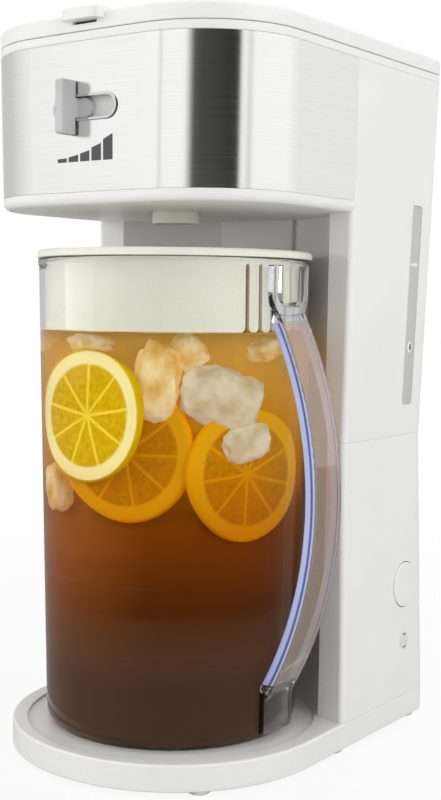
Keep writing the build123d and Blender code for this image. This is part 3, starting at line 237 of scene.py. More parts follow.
def handleLook():
    look = handleEdge
    material = clearPlastic("clearHandleSan")
    tree = material.node_tree
    shader = next(node for node in tree.nodes if node.type == "BSDF_PRINCIPLED")
    where = addNode(tree, "TexCoord").outputs
    parts = addNode(tree, "SeparateXYZ", links={"Vector": where["Object"]})
    faces = addNode(tree, "SeparateXYZ", links={"Vector": where["Normal"]})
    above = addNode(tree, "Math", {"operation": "GREATER_THAN", 1: look["low"] * mm}, {0: parts.outputs["Z"]})
    below = addNode(tree, "Math", {"operation": "LESS_THAN", 1: look["high"] * mm}, {0: parts.outputs["Z"]})
    span = addNode(tree, "Math", {"operation": "MULTIPLY"}, {0: above, 1: below})
    edge = addNode(tree, "Math", {"operation": "LESS_THAN", 1: look["edgeFacing"]}, {0: faces.outputs["Y"]})
    edge = addNode(tree, "Math", {"operation": "MULTIPLY"}, {0: edge, 1: span})
    outer = addNode(tree, "Math", {"operation": "GREATER_THAN", 1: look["outerFacing"]}, {0: faces.outputs["X"]})
    outer = addNode(tree, "Math", {"operation": "MULTIPLY"}, {0: outer, 1: span})

    x, z = look["arcCentre"]
    centre = (x * mm, 0, z * mm)
    away = addNode(tree, "VectorMath", {"operation": "SUBTRACT", 1: centre}, {0: where["Object"]})
    flat = addNode(tree, "VectorMath", {"operation": "MULTIPLY", 1: (1, 0, 1)}, {0: away})
    reach = addNode(tree, "VectorMath", {"operation": "LENGTH"}, {0: flat}).outputs["Value"]
    shift = addNode(tree, "Math", {"operation": "SUBTRACT", 1: look["line"] * mm}, {0: reach})
    offLine = addNode(tree, "Math", {"operation": "ABSOLUTE"}, {0: shift})
    limits = {"From Min": 0.3 * look["lineWidth"] * mm, "From Max": look["lineWidth"] * mm}
    clear = addNode(tree, "MapRange", limits, {"Value": offLine})

    # the painted blue glow and its painted dark line on the edge, and the painted tan refraction on the outer face
    tones = {mixFrom: hexColour(look["paintedLineColour"]), mixTo: hexColour(look["paintedGlowColour"])}
    glow = addNode(tree, "Mix", {"data_type": "RGBA", **tones}, {mixFactor: clear})
    tones = {mixFrom: hexColour(clears["clearHandleSan"]["colour"]), mixTo: hexColour(look["paintedRefractionColour"])}
    body = addNode(tree, "Mix", {"data_type": "RGBA", **tones}, {mixFactor: outer})
    links = {mixFactor: edge, mixFrom: body.outputs[mixResult], mixTo: glow.outputs[mixResult]}
    tone = addNode(tree, "Mix", {"data_type": "RGBA"}, links)
    clearer = addNode(tree, "MapRange", {"To Min": 1.0, "To Max": look["faceTransmission"]}, {"Value": outer})
    through = addNode(tree, "MapRange", {"To Max": look["transmission"]}, {"Value": edge, "To Min": clearer})
    linkInputs(tree, shader, {"Base Color": tone.outputs[mixResult], "Transmission Weight": through})
    return material


# frosted acrylic, which glows softly with what is behind it
frosts = {
    "frostedWindow": {"colour": "#DEDEDE", "transmission": 0.25, "roughness": 0.3, "grainMm": 1.0},
    "frostedLens": {"colour": "#EEEEED", "transmission": 0.1, "roughness": 0.28, "grainMm": 0.8},
}


def frostedPlastic(name):
    look = frosts[name]
    settings = {
        "Base Color": hexColour(look["colour"]), "Transmission Weight": look["transmission"], "IOR": 1.49,
        "Roughness": look["roughness"],
    }
    material, tree, shader, _, where = newMaterial(name, settings)
    grain = addNode(tree, "TexNoise", {"Scale": 1 / (look["grainMm"] * mm), "Detail": 3.0}, {"Vector": where})
    edge = addNode(tree, "Bevel", {"samples": 4, "Radius": 0.3 * mm})
    bump = addNode(tree, "Bump", {"Strength": 0.2, "Distance": 0.01 * mm}, {"Height": grain, "Normal": edge})
    linkInputs(tree, shader, {"Normal": bump})
    return material


# brewed tea: clear and amber at the surface and darker brown and less clear towards the bottom, with painted light
# that makes it lighter at the side that light comes from; heights and lengths are in mm
teaLook = {
    "low": 14.0, "high": 217.0,
    "liquid": [
        (0.0, "#5C4434"), (0.15, "#64493A"), (0.28, "#865C44"), (0.4, "#C08454"), (0.52, "#D8A468"),
        (0.7, "#FDF4E0"),
    ],
    "clearness": [(0.0, "#707070"), (0.2, "#B8B8B8"), (0.33, "#FFFFFF")],
    "heart": [
        (0.0, "#422F25"), (0.15, "#50372C"), (0.3, "#62401F"), (0.46, "#6E4212"), (0.56, "#7A480A"),
        (0.64, "#A06408"), (0.78, "#B67E10"), (1.0, "#C49E52"),
    ],
    # glow is painted light: the heart emits its own colour
    "glow": 0.35, "swirl": 26, "drift": 22,
    # paintedLitSide is painted light: a lighter tone mixed in on the side towards the lamps
    "paintedLitSide": "#B98A54", "paintedLitToward": -85, "paintedLitFrom": 15, "paintedLitTo": 62, "paintedLitShare": 0.45,
}


def teaLiquidLook(name, ior):  # the wetted wall has bent the light already, so the tea's own sides don't
    settings = {"Base Color": hexColour("#D9A35C"), "Transmission Weight": 1.0, "IOR": ior, "Roughness": 0.0}
    material, tree, shader, output, where = newMaterial(name, settings)
    height = addNode(tree, "SeparateXYZ", links={"Vector": where})
    limits = {"From Min": teaLook["low"] * mm, "From Max": teaLook["high"] * mm}
    rise = addNode(tree, "MapRange", limits, {"Value": height.outputs["Z"]})
    tone = addNode(tree, "ValToRGB", links={"Fac": rise}, stops=teaLook["liquid"])
    clearness = addNode(tree, "ValToRGB", links={"Fac": rise}, stops=teaLook["clearness"])
    linkInputs(tree, shader, {"Base Color": tone, "Transmission Weight": clearness})
    letLampsThrough(tree, shader, output, "#FBEFD6")
    return material


# painted light: the heart glows with its own colour, standing in for light that scatters in thick tea
def teaHeartLook():  # its glow is the light that scatters in thick tea
    settings = {
        "Base Color": hexColour("#8C4B1C"), "Roughness": 0.9, "Specular IOR Level": 0.0,
        "Emission Strength": teaLook["glow"],
    }
    material, tree, shader, _, where = newMaterial("steepedTeaHeart", settings)
    height = addNode(tree, "SeparateXYZ", links={"Vector": where})
    swirl = addNode(tree, "TexNoise", {"Scale": 1 / (teaLook["swirl"] * mm), "Detail": 3.0}, {"Vector": where})
    stretch = {1: teaLook["drift"] * mm, 2: -teaLook["drift"] / 2 * mm}
    drift = addNode(tree, "Math", {"operation": "MULTIPLY_ADD", **stretch}, {0: swirl})
    cloudy = addNode(tree, "Math", {"operation": "ADD"}, {0: height.outputs["Z"], 1: drift})
    limits = {"From Min": teaLook["low"] * mm, "From Max": teaLook["high"] * mm}
    rise = addNode(tree, "MapRange", limits, {"Value": cloudy})
    tone = addNode(tree, "ValToRGB", links={"Fac": rise}, stops=teaLook["heart"])
    # painted light: the side towards the lamps is mixed towards a lighter tone, in its colour and its glow
    paintedLitSide = outwards(teaLook["paintedLitToward"])
    lean = addNode(tree, "VectorMath", {"operation": "DOT_PRODUCT", 1: paintedLitSide}, {0: where}).outputs["Value"]
    limits = {"From Min": teaLook["paintedLitFrom"] * mm, "From Max": teaLook["paintedLitTo"] * mm}
    share = addNode(tree, "MapRange", {**limits, "To Max": teaLook["paintedLitShare"]}, {"Value": lean})
    tones = {mixTo: hexColour(teaLook["paintedLitSide"])}
    body = addNode(tree, "Mix", {"data_type": "RGBA", **tones}, {mixFactor: share, mixFrom: tone})
    linkInputs(tree, shader, dict.fromkeys(("Base Color", "Emission Color"), body.outputs[mixResult]))
    return material


# citrus: peel, pale pith and wedges of flesh between bright membranes; its rings are shares of the radius
# glow is painted light: the fruit faintly emits its own colours
citrus = {
    "lemon": {
        "glow": 0.04, "peel": "#DDBE00", "pith": "#FFFBC4", "flesh": "#E2C400", "deep": "#CFA800",
        "membrane": "#F6E24C",
    },
    "steepedLemon": {
        "glow": 0.2, "peel": "#E0A000", "pith": "#DAA410", "flesh": "#C28604", "deep": "#B27604",
        "membrane": "#D49606",
    },
}
citrusRings = {"membrane": (0.02, 0.045), "pith": (0.75, 0.79), "peel": (0.955, 0.975)}
wedgeCount = 9
sacMm = 2.6


# its glow is painted light: the flesh emits its own colour, brighter on the steeped slices
def citrusLook(name, radius):  # under tea it has no glint, but some light comes through it
    look = citrus[name]
    settings = {
        "Base Color": hexColour(look["flesh"]), "Roughness": 0.3, "IOR": 1.36, "Subsurface Weight": 0.3,
        "Subsurface Scale": 3 * mm, "Subsurface Radius": (1.0, 0.8, 0.3), "Specular IOR Level": 0.05,
        "Emission Strength": look["glow"],
    }
    material, tree, shader, _, where = newMaterial(name + "Flesh", settings)
    ranges = {
        ring: {"From Min": low * radius * mm, "From Max": high * radius * mm}
        for ring, (low, high) in citrusRings.items()
    }
    flat = addNode(tree, "VectorMath", {"operation": "MULTIPLY", 1: (1, 1, 0)}, {0: where})
    reach = addNode(tree, "VectorMath", {"operation": "LENGTH"}, {0: flat}).outputs["Value"]
    parts = addNode(tree, "SeparateXYZ", links={"Vector": where})
    turn = addNode(tree, "Math", {"operation": "ARCTAN2"}, {0: parts.outputs["Y"], 1: parts.outputs["X"]})
    count = addNode(tree, "Math", {"operation": "MULTIPLY", 1: wedgeCount / (2 * pi)}, {0: turn})
    wedge = addNode(tree, "Math", {"operation": "FRACT"}, {0: count})
    centred = addNode(tree, "Math", {"operation": "SUBTRACT", 1: 0.5}, {0: wedge})
    aside = addNode(tree, "Math", {"operation": "ABSOLUTE"}, {0: centred})
    slack = addNode(tree, "Math", {"operation": "SUBTRACT", 0: 0.5}, {1: aside})
    chord = addNode(tree, "Math", {"operation": "MULTIPLY"}, {0: slack, 1: reach})
    sacs = addNode(tree, "TexNoise", {"Scale": 1 / (sacMm * mm), "Detail": 3.0}, {"Vector": where})
    juice = addNode(tree, "ValToRGB", links={"Fac": sacs}, stops=[(0.35, look["deep"]), (0.65, look["flesh"])])
    inWedge = addNode(tree, "MapRange", ranges["membrane"], {"Value": chord})
    membrane = {mixFrom: hexColour(look["membrane"])}
    tone = addNode(tree, "Mix", {"data_type": "RGBA", **membrane}, {mixFactor: inWedge, mixTo: juice})
    for ring in ("pith", "peel"):
        share = addNode(tree, "MapRange", ranges[ring], {"Value": reach})
        colour = {mixTo: hexColour(look[ring])}
        links = {mixFactor: share, mixFrom: tone.outputs[mixResult]}
        tone = addNode(tree, "Mix", {"data_type": "RGBA", **colour}, links)
    bump = addNode(tree, "Bump", {"Strength": 0.4, "Distance": 0.4 * mm}, {"Height": sacs})
    linkInputs(tree, shader, dict.fromkeys(("Base Color", "Emission Color"), tone.outputs[mixResult]))
    linkInputs(tree, shader, {"Normal": bump})
    return material


# ice: cloudy lumps with a painted warm cast for light that comes through the tea round them, stronger on the
# warmer lumps, and a faint painted glow of their own colour
ices = {
    "cloudyIce": [(0.3, "#C2B396"), (0.45, "#CDC6B6"), (0.6, "#DAD7D0")],
    "warmerCastIce": [(0.3, "#D6AE5A"), (0.48, "#E2CA92"), (0.62, "#ECE0C2")],
}
frostMm = 11


def iceLook(name):
    settings = {
        "Base Color": hexColour("#F2EBDD"), "Transmission Weight": 0.15, "IOR": 1.31, "Roughness": 0.3,
        "Subsurface Weight": 0.6, "Subsurface Scale": 8 * mm, "Subsurface Radius": (1.0, 0.9, 0.8),
        # painted glow: the ice emits its own colour, which flattens its shading
        "Specular IOR Level": 0.1, "Emission Strength": 0.18,
    }
    material, tree, shader, output, where = newMaterial(name, settings)
    frost = addNode(tree, "TexNoise", {"Scale": 1 / (frostMm * mm), "Detail": 3.0}, {"Vector": where})
    tone = addNode(tree, "ValToRGB", links={"Fac": frost}, stops=ices[name])
    bump = addNode(tree, "Bump", {"Strength": 0.3, "Distance": 0.8 * mm}, {"Height": frost})
    linkInputs(tree, shader, {"Base Color": tone, "Emission Color": tone, "Normal": bump})
    letLampsThrough(tree, shader, output, "#F0E4C8")
    return material


def printInk(name, colour, roughness):  # screen-printed ink: flat, with a slightly uneven lay
    material, tree, shader, _, where = newMaterial(name, {"Base Color": hexColour(colour), "Roughness": roughness})
    lay = addNode(tree, "TexNoise", {"Scale": 1 / (0.6 * mm), "Detail": 2.0}, {"Vector": where})
    limits = {"From Min": 0.3, "From Max": 0.7, "To Min": roughness - 0.06, "To Max": roughness + 0.06}
    spread = addNode(tree, "MapRange", limits, {"Value": lay})
    linkInputs(tree, shader, {"Roughness": spread})
    return material


materials = {name: mouldedPlastic(name) for name in plastics}
materials.update({name: plainMetal(name) for name in metals})
materials.update({name: clearPlastic(name) for name in clears if name != "clearHandleSan"})
materials["clearHandleSan"] = handleLook()
materials.update({name: frostedPlastic(name) for name in frosts})
materials["brushedSteel"] = brushedSteel()
print("materials ready")

# which nodes each material goes on
finishes = {
    "whiteAbs": [
        "base_shell", "bottom_cover", "lower_housing", "upper_housing", "top_deck", "top_lid", "power_button",
        "slider_shutter",
    ],
    "creamPolypropylene": ["pitcher_lid", "brew_basket", "lid_shower_panel", "strength_gate"],
    "lightGreyAbs": ["strength_knob"],
    "darkPhenolic": ["selector_guide", "switch_body"],
    "paleRubber": ["feet"],
    "blackRubber": ["riser_grommet"],
    "milkySilicone": ["riser_tube", "inlet_hoses", "outlet_hose"],
    "zincPlatedSteel": [
        "cover_screws", "case_screws", "hinge_pins", "hose_clamps", "heater_straps", "strap_screws", "thermostat",
        "button_spring", "switch_screws",
    ],
    "dieCastAluminium": ["heater"],
    "brass": ["thermal_fuse"],
    "chromedRim": ["selector_bezel"],
    "perforatedSteel": ["basket_screen"],
    "brushedSteel": ["steel_band"],
    "clearSan": ["check_valve", "pilot_lamp", "pitcher_body"],
    "clearHandleSan": ["pitcher_handle"],
    "frostedWindow": ["water_window"],
    "frostedLens": ["pilot_lens"],
}
for finish, nodes in finishes.items():
    for node in nodes:
        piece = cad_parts[node]
        piece.data.materials.clear()
        piece.data.materials.append(materials[finish])
print("finishes on", sum(len(nodes) for nodes in finishes.values()), "nodes")


# shapes
def addPiece(name, points, faces, material, body, place=None):  # points in mm
    mesh = bpy.data.meshes.new(name)
    mesh.from_pydata([tuple(c * mm for c in p) for p in points], [], faces)
    mesh.validate()
    shape = bmesh.new()
    shape.from_mesh(mesh)
    bmesh.ops.remove_doubles(shape, verts=shape.verts, dist=0.002 * mm)
    bmesh.ops.recalc_face_normals(shape, faces=shape.faces)
    shape.to_mesh(mesh)
    shape.free()
    mesh.shade_smooth()
    mesh.materials.append(material)
    piece = bpy.data.objects.new(name, mesh)
    if place is not None:
        piece.matrix_world = place
    bpy.context.collection.objects.link(piece)
    if body:
        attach(piece, body)
    return piece


def faceMaterial(piece, material, chosen):  # a second material on the faces chosen by their centre's r and z in mm
    piece.data.materials.append(material)
    for face in piece.data.polygons:
        if chosen(hypot(face.center.x, face.center.y) / mm, face.center.z / mm):
            face.material_index = 1


def ringsToFaces(ringCount, sides, closedLoop=False):  # quads between rings of equal length
    faces = []
    for ring in range(ringCount - 1 + closedLoop):
        after = (ring + 1) % ringCount
        for side in range(sides):
            beside = (side + 1) % sides
            faces.append((ring * sides + side, ring * sides + beside, after * sides + beside, after * sides + side))
    return faces


def curveBetween(centre, radius, start, end, steps):  # points on an arc, in degrees
    turns = [radians(start + (end - start) * i / steps) for i in range(steps + 1)]
    return [(centre[0] + radius * cos(t), centre[1] + radius * sin(t)) for t in turns]


# the pitcher's clear body: a tapered wall with a rim bead and a pouring lip, in mm
pitcher = {
    "floor": 13.9, "rim": 253.7, "footRadius": 65.4, "rimRadius": 71.0, "wall": 2.4, "floorThickness": 3.0,
    "footRound": 7.0, "flatRadius": 40.0, "beadHeight": 3.5, "beadProud": 0.5, "beadSlope": 0.6, "beadRound": 0.7,
    "rimRound": 0.5, "shrink": 0.1, "lipCentre": 62.0, "lipRadius": 17.0, "lipDepth": 27.0, "sides": 288,
    "wallHeights": (40, 80, 120, 160, 200), "belowLip": 215,
    "lipHeights": (226.7, 229, 232, 235, 238, 241, 244, 247),
}
tea = {
    "surface": 217.0, "wetLine": 217.8, "overlap": 0.15, "heartTop": 216.7, "sides": 192, "meniscusIn": 0.6,
    "meniscusRise": 0.3, "flatIn": 1.6, "topBand": 0.5,
}


def pitcherRadius(z):
    share = (z - pitcher["floor"]) / (pitcher["rim"] - pitcher["floor"])
    return pitcher["footRadius"] + (pitcher["rimRadius"] - pitcher["footRadius"]) * share - pitcher["shrink"]


def lipReach(angle, z, inset):  # how far out the pouring lip carries the wall, on the -x side
    radius = pitcher["lipRadius"] * (1 - (pitcher["rim"] - z) / pitcher["lipDepth"]) - inset
    if radius <= 0:
        return 0.0
    aside = pitcher["lipCentre"] * sin(angle - pi)
    if abs(aside) >= radius or cos(angle - pi) < 0:
        return 0.0
    return pitcher["lipCentre"] * cos(angle - pi) + sqrt(radius ** 2 - aside ** 2)


def pitcherProfile():  # (radius, height) pairs up the outside and down the inside
    floor, rim, foot, wall = (pitcher[name] for name in ("floor", "rim", "footRound", "wall"))
    outside = [(0.0, floor), (pitcher["flatRadius"], floor)]
    outside += curveBetween((pitcherRadius(floor + foot) - foot, floor + foot), foot, -90, 0, 8)
    heights = (*pitcher["wallHeights"], pitcher["belowLip"], *pitcher["lipHeights"])
    outside += [(pitcherRadius(z), z) for z in heights]
    bead = rim - pitcher["beadHeight"]
    proud = pitcherRadius(rim) + pitcher["beadProud"]
    outside += [(pitcherRadius(bead), bead - pitcher["beadSlope"]), (proud, bead)]
    outside += [(proud, rim - pitcher["beadRound"]), (proud - pitcher["beadRound"], rim)]

    edge = pitcherRadius(rim) - wall
    inside = [(edge + pitcher["rimRound"], rim), (edge, rim - pitcher["rimRound"])]
    heights = (*pitcher["lipHeights"][::-1], tea["wetLine"], *pitcher["wallHeights"][::-1])
    inside += [(pitcherRadius(z) - wall, z) for z in heights]
    inner = foot - wall
    top = floor + pitcher["floorThickness"]
    inside += curveBetween((pitcherRadius(floor + foot) - wall - inner, top + inner), inner, 0, -90, 6)
    inside += [(pitcher["flatRadius"], top), (0.0, top)]
    return outside, inside


def makePitcher():
    outside, inside = pitcherProfile()
    sides = pitcher["sides"]
    points = []
    for profile, inset in ((outside, 0.0), (inside, pitcher["wall"])):
        for radius, z in profile:
            for side in range(sides):
                angle = 2 * pi * side / sides
                reach = max(radius, lipReach(angle, z, inset) if radius > pitcher["flatRadius"] else 0.0)
                points.append((reach * cos(angle), reach * sin(angle), z))
    faces = ringsToFaces(len(outside) + len(inside), sides)
    piece = addPiece("pitcherClearBody", points, faces, materials["clearSan"], "pitcher")
    bottom = pitcher["floor"] + pitcher["floorThickness"] / 2
    half = pitcher["wall"] / 2
    wet = (bottom, tea["wetLine"])
    faceMaterial(piece, materials["wettedSan"], lambda r, z: r < pitcherRadius(z) - half and wet[0] < z < wet[1])
    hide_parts("pitcher_body")


viewerSide = 35.9  # degrees that the pitcher's best side lies round from its front, towards +x


def outwards(toward):  # unit vector from the pitcher's axis, that many degrees right of its best side
    turn = radians(viewerSide + toward)
    return Vector((sin(turn), -cos(turn), 0))


# the tea, and at its heart the thick tea: (height, radius) pairs, and flat pockets cut from its round at the front,
# where fruit and ice float, as (toward, distance from the axis, height that the pocket starts at)
heart = {
    "radii": [(17.2, 55.0), (22, 61.0), (45, 62.0), (95, 62.5), (217, 63.0)],
    "pockets": [
        (-43, 48.0, 128), (-24, 41.5, 108), (40, 48.0, 104), (-72, 44.0, 112), (0, 37.0, 172), (60, 44.0, 188),
    ],
    "pocketRise": 18, "pocketReach": 0.2, "levels": (17.2, 19.0, 22.0), "steps": 40,
    "sway": 0.02, "swayTurns": 1.3, "swayHeight": 40,
}


def smoothShare(value, low, high):
    share = min(1.0, max(0.0, (value - low) / (high - low)))
    return share * share * (3 - 2 * share)


def heartRadius(angle, z):
    radii = heart["radii"]
    after = next(i for i, (height, _) in enumerate(radii) if height >= z)
    (z0, r0), (z1, r1) = radii[max(0, after - 1)], radii[after]
    radius = r1 if z1 == z0 else r0 + (r1 - r0) * (z - z0) / (z1 - z0)
    for toward, depth, start in heart["pockets"]:
        facing = outwards(toward)
        across = facing.x * cos(angle) + facing.y * sin(angle)
        if across > heart["pocketReach"]:
            cut = min(radius, depth / across)
            radius += (cut - radius) * smoothShare(z, start, start + heart["pocketRise"])
    return radius


def makeTea():
    wall = pitcher["wall"]
    floor = pitcher["floor"] + pitcher["floorThickness"] - tea["overlap"]
    corner = pitcher["footRound"] - wall
    middle = pitcherRadius(pitcher["floor"] + pitcher["footRound"]) - wall - corner
    profile = [(0.0, floor)] + curveBetween((middle, floor + corner), corner + tea["overlap"], -90, 0, 6)
    profile += [(pitcherRadius(z) - wall + tea["overlap"], z) for z in (*pitcher["wallHeights"], tea["wetLine"])]
    top = pitcherRadius(tea["surface"]) - wall
    profile += [(top - tea["meniscusIn"], tea["surface"] + tea["meniscusRise"])]
    profile += [(top - tea["flatIn"], tea["surface"]), (0.0, tea["surface"])]
    sides = tea["sides"]
    turns = [2 * pi * side / sides for side in range(sides)]
    points = [(r * cos(t), r * sin(t), z) for r, z in profile for t in turns]
    faces = ringsToFaces(len(profile), sides)
    liquid = addPiece("teaLiquid", points, faces, teaLiquidLook("brewedTea", 1.0), "pitcher")
    edge = (top - tea["meniscusIn"] / 2, tea["surface"] - tea["topBand"])
    faceMaterial(liquid, teaLiquidLook("brewedTeaSurface", waterIor), lambda r, z: r < edge[0] and z > edge[1])

    low = heart["levels"][-1]
    levels = list(heart["levels"])
    levels += [low + (tea["heartTop"] - low) * step / heart["steps"] for step in range(1, heart["steps"] + 1)]
    points = [(0.0, 0.0, levels[0])] * sides
    for z in levels:
        for t in turns:
            spot = Vector((cos(t) * heart["swayTurns"], sin(t) * heart["swayTurns"], z / heart["swayHeight"]))
            sway = 1 + heart["sway"] * noise.noise(spot)
            radius = heartRadius(t, z) * min(1.0, sway)
            points.append((radius * cos(t), radius * sin(t), z))
    points += [(0.0, 0.0, levels[-1])] * sides
    addPiece("teaHeart", points, ringsToFaces(len(levels) + 2, sides), teaHeartLook(), "pitcher")


# toward is degrees right of the pitcher's best side; tip leans the slice's top outwards
slices = {
    "lemonSliceNear": {
        "fruit": "lemon", "toward": -43, "out": 54.3, "height": 175.5, "radius": 33.0, "tip": 4, "spin": 10,
    },
    "lemonSliceBehind": {
        "fruit": "steepedLemon", "toward": -24, "out": 46.0, "height": 157.0, "radius": 33.0, "tip": 5, "spin": 40,
    },
    "lemonSliceRight": {
        "fruit": "steepedLemon", "toward": 40, "out": 53.0, "height": 147.5, "radius": 33.0, "tip": 3, "spin": 25,
    },
}
# a slice's shape: its profile is in (share of the radius, share of half the thickness) pairs, and each membrane lies
# in a shallow dip
sliceShape = {
    "thickness": 5.0, "wedgePoints": 16, "dip": 0.14, "dipNarrow": 7, "dipFrom": 0.05, "dipTo": 0.82,
    "rough": 0.18, "roughScale": 0.35, "roughSeed": 9.0, "wobble": {3: (0.012, 1), 5: (0.008, 0)},
    "profile": [
        (0.001, 0.75), (0.08, 0.86), (0.3, 1.0), (0.6, 1.0), (0.74, 0.97), (0.79, 0.86), (0.86, 0.9), (0.95, 0.94),
        (0.985, 0.8), (1.0, 0.45),
    ],
}


def slicePoint(radius, r, z, side, sides):  # a point of a slice's ring, with its dips, roughness and wobble
    angle = 2 * pi * side / sides
    wedge = (side % sliceShape["wedgePoints"]) / sliceShape["wedgePoints"]
    fleshy = sliceShape["dipFrom"] < r / radius < sliceShape["dipTo"]
    dip = max(0.0, 1 - min(wedge, 1 - wedge) * sliceShape["dipNarrow"]) if fleshy else 0.0
    spot = Vector((r * cos(angle), r * sin(angle), sliceShape["roughSeed"])) * sliceShape["roughScale"]
    rough = sliceShape["rough"] * noise.noise(spot)
    wobble = 1
    for waves, (size, shift) in sliceShape["wobble"].items():
        wobble += size * sin(waves * angle + shift)
    return (r * wobble * cos(angle), r * wobble * sin(angle), z * (1 - sliceShape["dip"] * dip) + rough)


def floatingPlace(settings, facing):  # where a floating piece lies, with the turn that faces it outwards
    centre = outwards(settings["toward"]) * settings["out"] + Vector((0, 0, settings["height"]))
    return Matrix.Translation(centre * mm) @ facing


def makeSlice(name):
    settings = slices[name]
    radius = settings["radius"]
    sides = wedgeCount * sliceShape["wedgePoints"]
    half = sliceShape["thickness"] / 2
    profile = sliceShape["profile"]
    rings = [(r * radius, half * h) for r, h in profile] + [(r * radius, -half * h) for r, h in reversed(profile)]
    points = [slicePoint(radius, r, z, side, sides) for r, z in rings for side in range(sides)]
    out = outwards(settings["toward"])
    tipped = Matrix.Rotation(radians(settings["tip"]), 4, out.cross(Vector((0, 0, 1))))
    facing = (tipped @ out.to_4d()).to_3d().to_track_quat("Z", "Y").to_matrix().to_4x4()
    place = floatingPlace(settings, facing) @ Matrix.Rotation(radians(settings["spin"]), 4, "Z")
    addPiece(name, points, ringsToFaces(len(rings), sides), citrusLook(settings["fruit"], radius), "pitcher", place)


# size is the three half widths; each lump is a rounded block worn by melting, and set apart by its seed
iceLumps = {
    "iceLumpMiddle": {
        "ice": "warmerCastIce", "toward": -7, "out": 51.0, "height": 193.0, "size": (10, 7, 19), "turn": -6,
    },
    "iceLumpRight": {
        "ice": "cloudyIce", "toward": 27, "out": 51.0, "height": 185.0, "size": (19, 9, 15), "turn": -14,
    },
    "iceLumpLowRight": {
        "ice": "cloudyIce", "toward": 38, "out": 57.5, "height": 163.0, "size": (13, 3.5, 9), "turn": 12,
    },
    "iceLumpLeft": {
        "ice": "warmerCastIce", "toward": -72, "out": 53.0, "height": 137.0, "size": (9, 8, 11), "turn": 8,
    },
    "iceLumpTopLeft": {
        "ice": "warmerCastIce", "toward": -52, "out": 43.0, "height": 211.0, "size": (12, 9, 5), "turn": 0,
    },
    "iceLumpTopEnd": {
        "ice": "warmerCastIce", "toward": 56, "out": 50.0, "height": 209.0, "size": (9, 8, 5), "turn": 15,
    },
    "iceLumpTopMiddle": {
        "ice": "warmerCastIce", "toward": 9, "out": 47.0, "height": 207.0, "size": (9, 7, 8), "turn": -35,
    },
}
iceShape = {"cuts": 15, "squareness": 3, "seed": 0.37, "worn": 0.22, "wornScale": 1.5, "pitted": 0.08, "pitScale": 4}


def makeIce(name):
    settings = iceLumps[name]
    shape = bmesh.new()
    bmesh.ops.create_cube(shape, size=2)
    bmesh.ops.subdivide_edges(shape, edges=shape.edges, cuts=iceShape["cuts"], use_grid_fill=True)
    shape.verts.index_update()
    power = iceShape["squareness"]
    seed = Vector((settings["toward"] * iceShape["seed"], 0, 0))
    points = []
    for vertex in shape.verts:
        vertex.co /= (sum(abs(c) ** power for c in vertex.co)) ** (1 / power)
        worn = 1 + iceShape["worn"] * noise.noise(vertex.co * iceShape["wornScale"] + seed)
        worn += iceShape["pitted"] * noise.noise(vertex.co * iceShape["pitScale"])
        points.append(tuple(c * s * worn for c, s in zip(vertex.co, settings["size"])))
    faces = [tuple(v.index for v in face.verts) for face in shape.faces]
    shape.free()
    facing = outwards(settings["toward"]).to_track_quat("Y", "Z").to_matrix().to_4x4()
    place = floatingPlace(settings, facing) @ Matrix.Rotation(radians(settings["turn"]), 4, "Y")
    addPiece(name, points, faces, materials[settings["ice"]], "pitcher", place)


# a faint level line moulded on the pitcher, in runs of degrees from its best side
levelLine = {"height": 94.5, "half": 0.35, "proud": 0.3, "sink": 0.2, "runs": [(-76, -38), (-33, -5)]}


def makeLevelLine():
    height, half = levelLine["height"], levelLine["half"]
    inner = pitcherRadius(height) - levelLine["sink"]
    outer = pitcherRadius(height) + levelLine["proud"]
    section = ((inner, height - half), (outer, height - half), (outer, height + half), (inner, height + half))
    points, faces = [], []
    for first, last in levelLine["runs"]:
        steps = (last - first) * 2
        start = len(points)
        for step in range(steps + 1):
            out = outwards(first + step / 2)
            points += [tuple(out * reach + Vector((0, 0, z))) for reach, z in section]
        for step in range(steps):
            a, b = start + 4 * step, start + 4 * step + 4
            faces += [(a + i, a + (i + 1) % 4, b + (i + 1) % 4, b + i) for i in range(4)]
        faces += [tuple(end + i for i in range(4)) for end in (start, start + 4 * steps)]
    addPiece("pitcherLevelLine", points, faces, materials["clearSan"], "pitcher")


makePitcher()
makeLevelLine()
makeTea()
for sliceName in slices:
    makeSlice(sliceName)
materials.update({name: iceLook(name) for name in ices})
for lumpName in iceLumps:
    makeIce(lumpName)
print("pitcher filled")

# the spring behind the power button, which shortens as the button goes in; middle is (y, z)
spring = {
    "start": 75.83, "end": 81.63, "middle": (101.4, 76.7), "radius": 4.8, "wire": 0.44, "turns": 3, "steps": 28,
    "sides": 10,
}


def makeButtonSpring():
    y, z = spring["middle"]
    count = spring["turns"] * spring["steps"]
    rings = [(0, 0.0)] + [(step, spring["wire"]) for step in range(count + 1)] + [(count, 0.0)]
    points = []
    for step, thickness in rings:
        turn = 2 * pi * step / spring["steps"]
        x = spring["start"] + (spring["end"] - spring["start"]) * step / count
        for side in range(spring["sides"]):
            around = 2 * pi * side / spring["sides"]
            radius = spring["radius"] + thickness * cos(around)
            points.append((x + thickness * sin(around), y + radius * cos(turn), z + radius * sin(turn)))
    faces = ringsToFaces(len(rings), spring["sides"])
    piece = addPiece("pressedButtonSpring", points, faces, materials["zincPlatedSteel"], None)
    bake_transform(piece)
    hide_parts("button_spring")


makeButtonSpring()
print("spring set")

# strength bars printed on the steel; each run is x from and to, and the heights of its left and right ends
bars = {
    "bottom": 298.7, "lift": 0.06, "thickness": 0.05, "headFront": 71.0, "headLow": 278.5, "flare": 0.0129,
    "bow": 1158.0,
    "runs": [
        (-17.7, -11.7, 1.8, 2.1), (-10.5, -4.3, 2.4, 3.4), (-3.0, 2.9, 3.8, 5.1), (4.2, 10.2, 6.3, 8.1),
        (11.5, 17.3, 9.8, 12.3),
    ],
}


def onSteel(x, z, lift):  # a point that far in front of the bowed steel
    front = bars["headFront"] + bars["flare"] * (z - bars["headLow"])
    return (x, -front + x * x / (2 * bars["bow"]) - lift, z)


